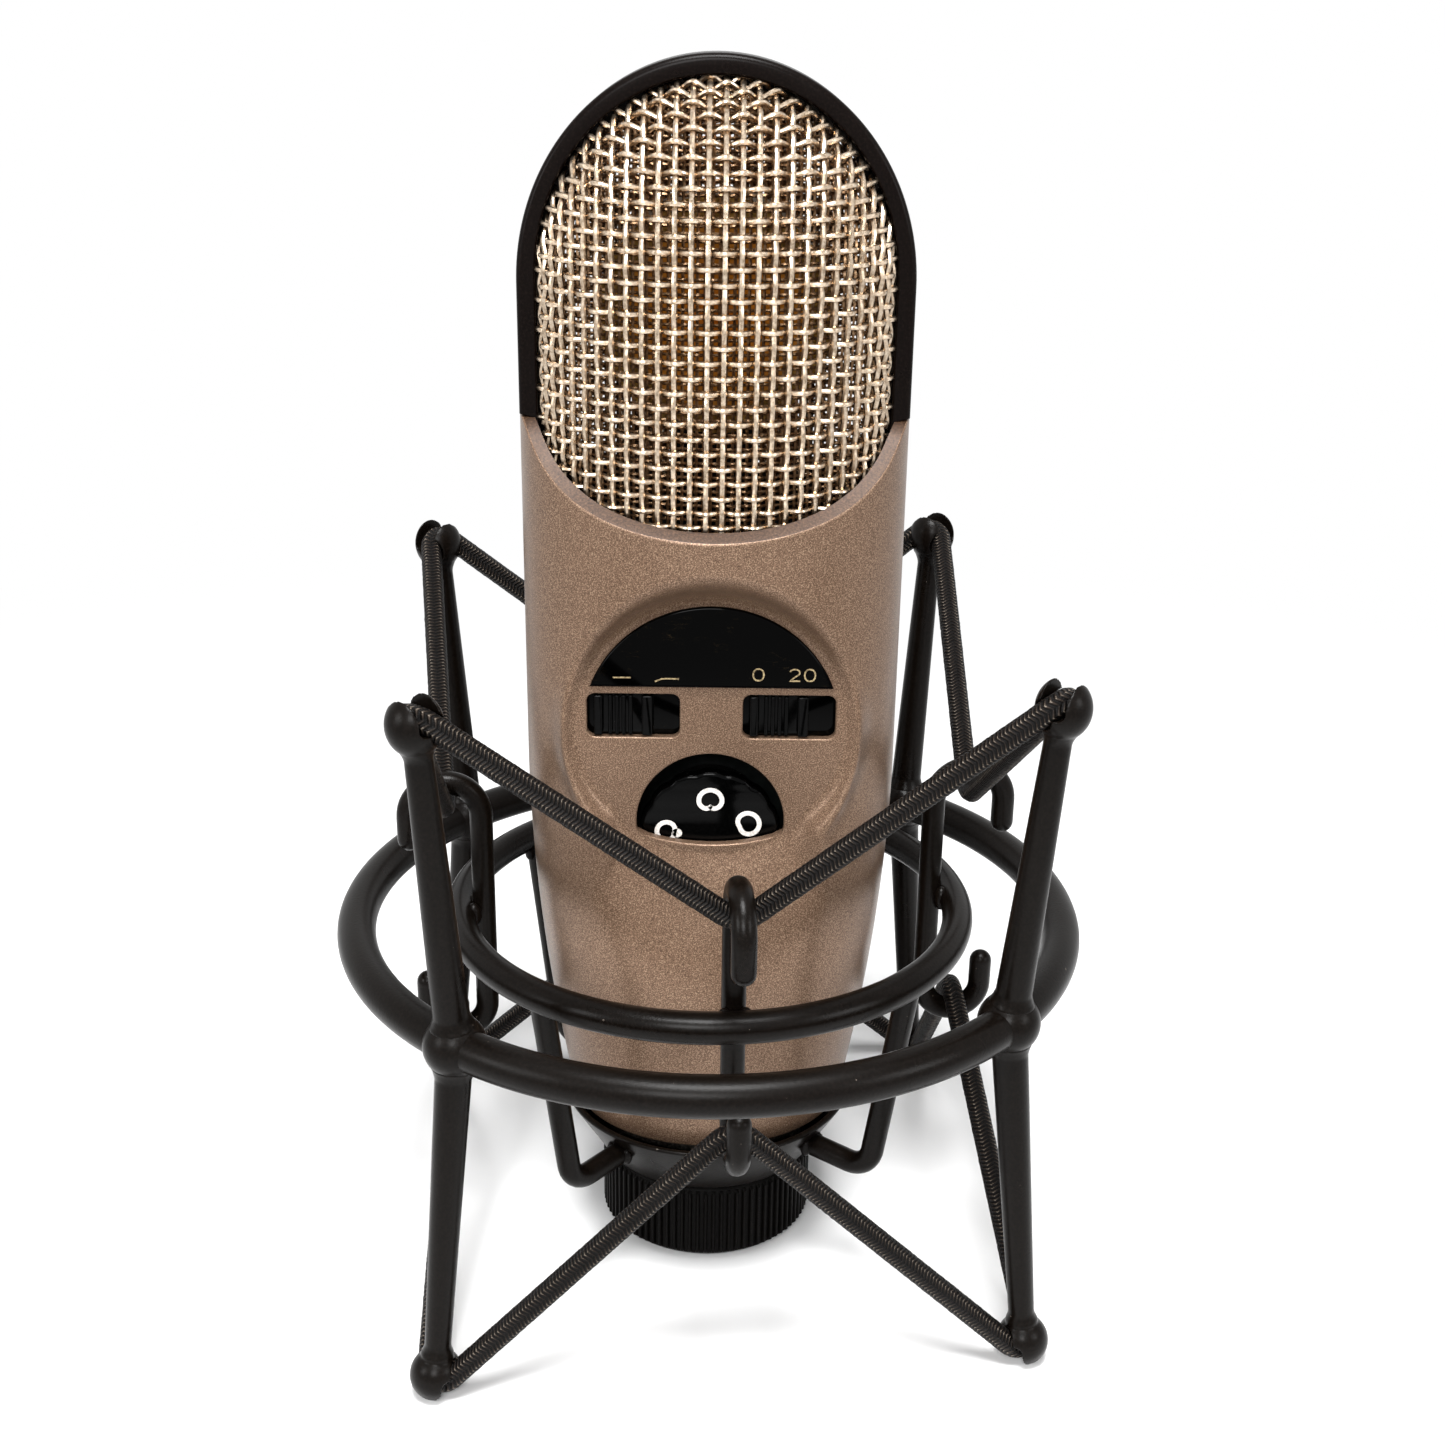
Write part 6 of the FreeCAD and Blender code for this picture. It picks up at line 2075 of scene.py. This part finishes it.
# ---- Solids that keep their shape ----
@dataclass
class Solids:
    """Finishes for the solids, and softened copies of the ones that show."""

    softened: dict[str, tuple[Finishes, float]] = field(default_factory=lambda: {
        "adapter_knuckle": (Finishes.COAT, 0.5), "stand_lug": (Finishes.COAT, 0.4),
        "tension_knob": (Finishes.NYLON, 0.5), "swivel_nut": (Finishes.STEEL, 0.25),
        "thread_insert": (Finishes.BRASS, 0.25), "base_collar": (Finishes.STEEL, 0.25)})

    def dress(self) -> None:
        """Give every solid the first finish that its slot has."""
        finishes: dict[str, Finishes] = {}
        for finish in Finishes:
            finishes.setdefault(finish.value.slot, finish)
        for part in frame["record"]["subparts"]:
            mesh = frame["nodes"][part["node"]].data
            mesh.materials.clear()
            mesh.materials.append(material_of(finishes[part["material_slot"]]))

    def soften(self) -> None:
        """Copy solids with machined corners and round their edges."""
        owners = {node: body for body, nodes in
                  frame["record"]["behaviour"]["bodies"].items() for node in nodes}
        for name, (finish, width) in self.softened.items():
            work = bmesh.new()
            work.from_mesh(frame["nodes"][name].data)
            bmesh.ops.remove_doubles(work, verts=work.verts, dist=2e-6)
            bmesh.ops.dissolve_limit(work, angle_limit=radians(1.0),
                                     verts=work.verts, edges=work.edges)
            mesh = bpy.data.meshes.new(name + "_softened")
            work.to_mesh(mesh)
            work.free()
            settings = {"width": width * MM, "segments": 3, "limit_method": "ANGLE",
                        "angle_limit": radians(35.0), "harden_normals": False}
            mesh = with_modifiers(mesh, ("BEVEL", settings))
            mesh.materials.clear()
            piece(name + "_part", tidy(mesh, 30.0), [finish], owners[name], [name])

    def build(self) -> None:
        """Dress the solids and replace the ones that show."""
        self.dress()
        self.soften()


# ---- Stage ----
@dataclass
class Stage:
    """Floor, backdrop light, soft lamps and the camera."""

    floor_size: float = 6000.0
    elevation: float = 0.467535125
    distance: float = 306.91
    pan: float = -0.00592164901
    tilt: float = 0.0976785091
    roll: float = -0.0110828316
    lens: float = 47.0932
    world: float = 0.26
    plain_from: float = 75.0
    plain_to: float = 420.0
    target: float = 90.0
    lamps: tuple[tuple[str, Triple, float, float], ...] = (
        ("left_softbox", (-480.0, -320.0, 300.0), 200.0, 1.2),
        ("right_softbox", (480.0, -320.0, 300.0), 200.0, 0.9),
        ("front_softbox", (-60.0, -560.0, 420.0), 200.0, 2.4),
        ("top_softbox", (0.0, -210.0, 690.0), 260.0, 8.0))

    def background(self, tree: NodeTree) -> NodeSocket:
        """One for what the camera, reflections and glass see, else nought."""
        path = add(tree, "ShaderNodeLightPath")
        seen = add(tree, "ShaderNodeMath", {0: path.outputs["Is Camera Ray"],
                                            1: path.outputs["Is Glossy Ray"]},
                   operation="MAXIMUM")
        return add(tree, "ShaderNodeMath", {0: seen.outputs["Value"],
                                            1: path.outputs["Is Transmission Ray"]},
                   operation="MAXIMUM").outputs["Value"]

    def sky(self) -> None:
        """White surround, dimmer for what it lights than for what is seen."""
        world = bpy.data.worlds.new("studio")
        bpy.context.scene.world = world
        world.use_nodes = True
        tree = world.node_tree
        shade = tree.nodes["Background"]
        shade.inputs["Color"].default_value = (1.0, 1.0, 1.0, 1.0)
        power = add(tree, "ShaderNodeMapRange", {"Value": self.background(tree)},
                    {"To Min": self.world, "To Max": 1.0})
        tree.links.new(power.outputs["Result"], shade.inputs["Strength"])

    def floor(self) -> None:
        """Pale floor that keeps the object's shadow and goes plain white further off."""
        half = self.floor_size / 2 * MM
        mesh = bpy.data.meshes.new("studio_floor")
        mesh.from_pydata([(-half, -half, 0.0), (half, -half, 0.0), (half, half, 0.0),
                          (-half, half, 0.0)], [], [(0, 1, 2, 3)])
        item = placed("studio_floor", mesh)
        material, tree, shader = Finish("pale_paper", "F4F4F4", roughness=0.9).start()
        place = add(tree, "ShaderNodeTexCoord").outputs["Object"]
        away = add(tree, "ShaderNodeVectorMath", {0: place},
                   {1: (0.0, PLACE.axis_y * MM, 0.0)}, operation="DISTANCE")
        share = add(tree, "ShaderNodeMapRange", {"Value": away.outputs["Value"]},
                    {"From Min": self.plain_from * MM, "From Max": self.plain_to * MM},
                    interpolation_type="SMOOTHSTEP")
        share = add(tree, "ShaderNodeMath", {0: share.outputs["Result"],
                                             1: self.background(tree)}, operation="MULTIPLY")
        plain = add(tree, "ShaderNodeEmission")
        mixed = add(tree, "ShaderNodeMixShader", {0: share.outputs["Value"],
                                                  1: shader.outputs["BSDF"],
                                                  2: plain.outputs["Emission"]})
        tree.links.new(mixed.outputs["Shader"], tree.nodes["Material Output"].inputs["Surface"])
        mesh.materials.append(material)

    def lamp(self, name: str, place: Triple, size: float, power: float) -> None:
        """Soft square lamp turned to the object.

        Args:
            name: Name of the lamp.
            place: Its place in millimetres.
            size: Its side in millimetres.
            power: Its power in watts.
        """
        data = bpy.data.lights.new(name, "AREA")
        data.shape = "SQUARE"
        data.size = size * MM
        data.energy = power
        item = placed(name, data)
        item.location = Vector(place) * MM
        way = Vector((0.0, PLACE.axis_y, self.target)) - Vector(place)
        item.rotation_euler = way.to_track_quat("-Z", "Y").to_euler()

    def camera(self) -> None:
        """Camera a little above, looking down at the microphone."""
        low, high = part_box("outer_ring")
        back = Vector((0.0, -cos(self.elevation), sin(self.elevation)))
        place = (low + high) / 2 + back * self.distance * MM
        turn = Matrix.Translation(place)
        for angle, axis in ((pi / 2 - self.elevation, "X"), (self.pan, "Y"),
                            (self.tilt, "X"), (-self.roll, "Z")):
            turn = turn @ Matrix.Rotation(angle, 4, axis)
        data = bpy.data.cameras.new("camera")
        data.sensor_width = 36.0
        data.lens = self.lens
        data.clip_start, data.clip_end = 0.01, 50.0
        item = placed("camera", data)
        item.matrix_world = turn
        bpy.context.scene.camera = item

    def build(self) -> None:
        """Set up the whole studio."""
        bpy.context.scene.view_settings.view_transform = "Standard"
        self.sky()
        self.floor()
        for lamp in self.lamps:
            self.lamp(*lamp)
        self.camera()


def main() -> None:
    """Build every piece in order, then the stage."""
    logging.basicConfig(level=logging.INFO, format="%(name)s: %(message)s")
    Solids().build()
    cords = Elastics()
    cords.build()
    OuterFrame().build(cords)
    Cage().build()
    ClampNut().build()
    housing = Housing()
    housing.build()
    Head().build(housing)
    Controls().build()
    Stage().build()


if __name__ == "__main__":
    main()
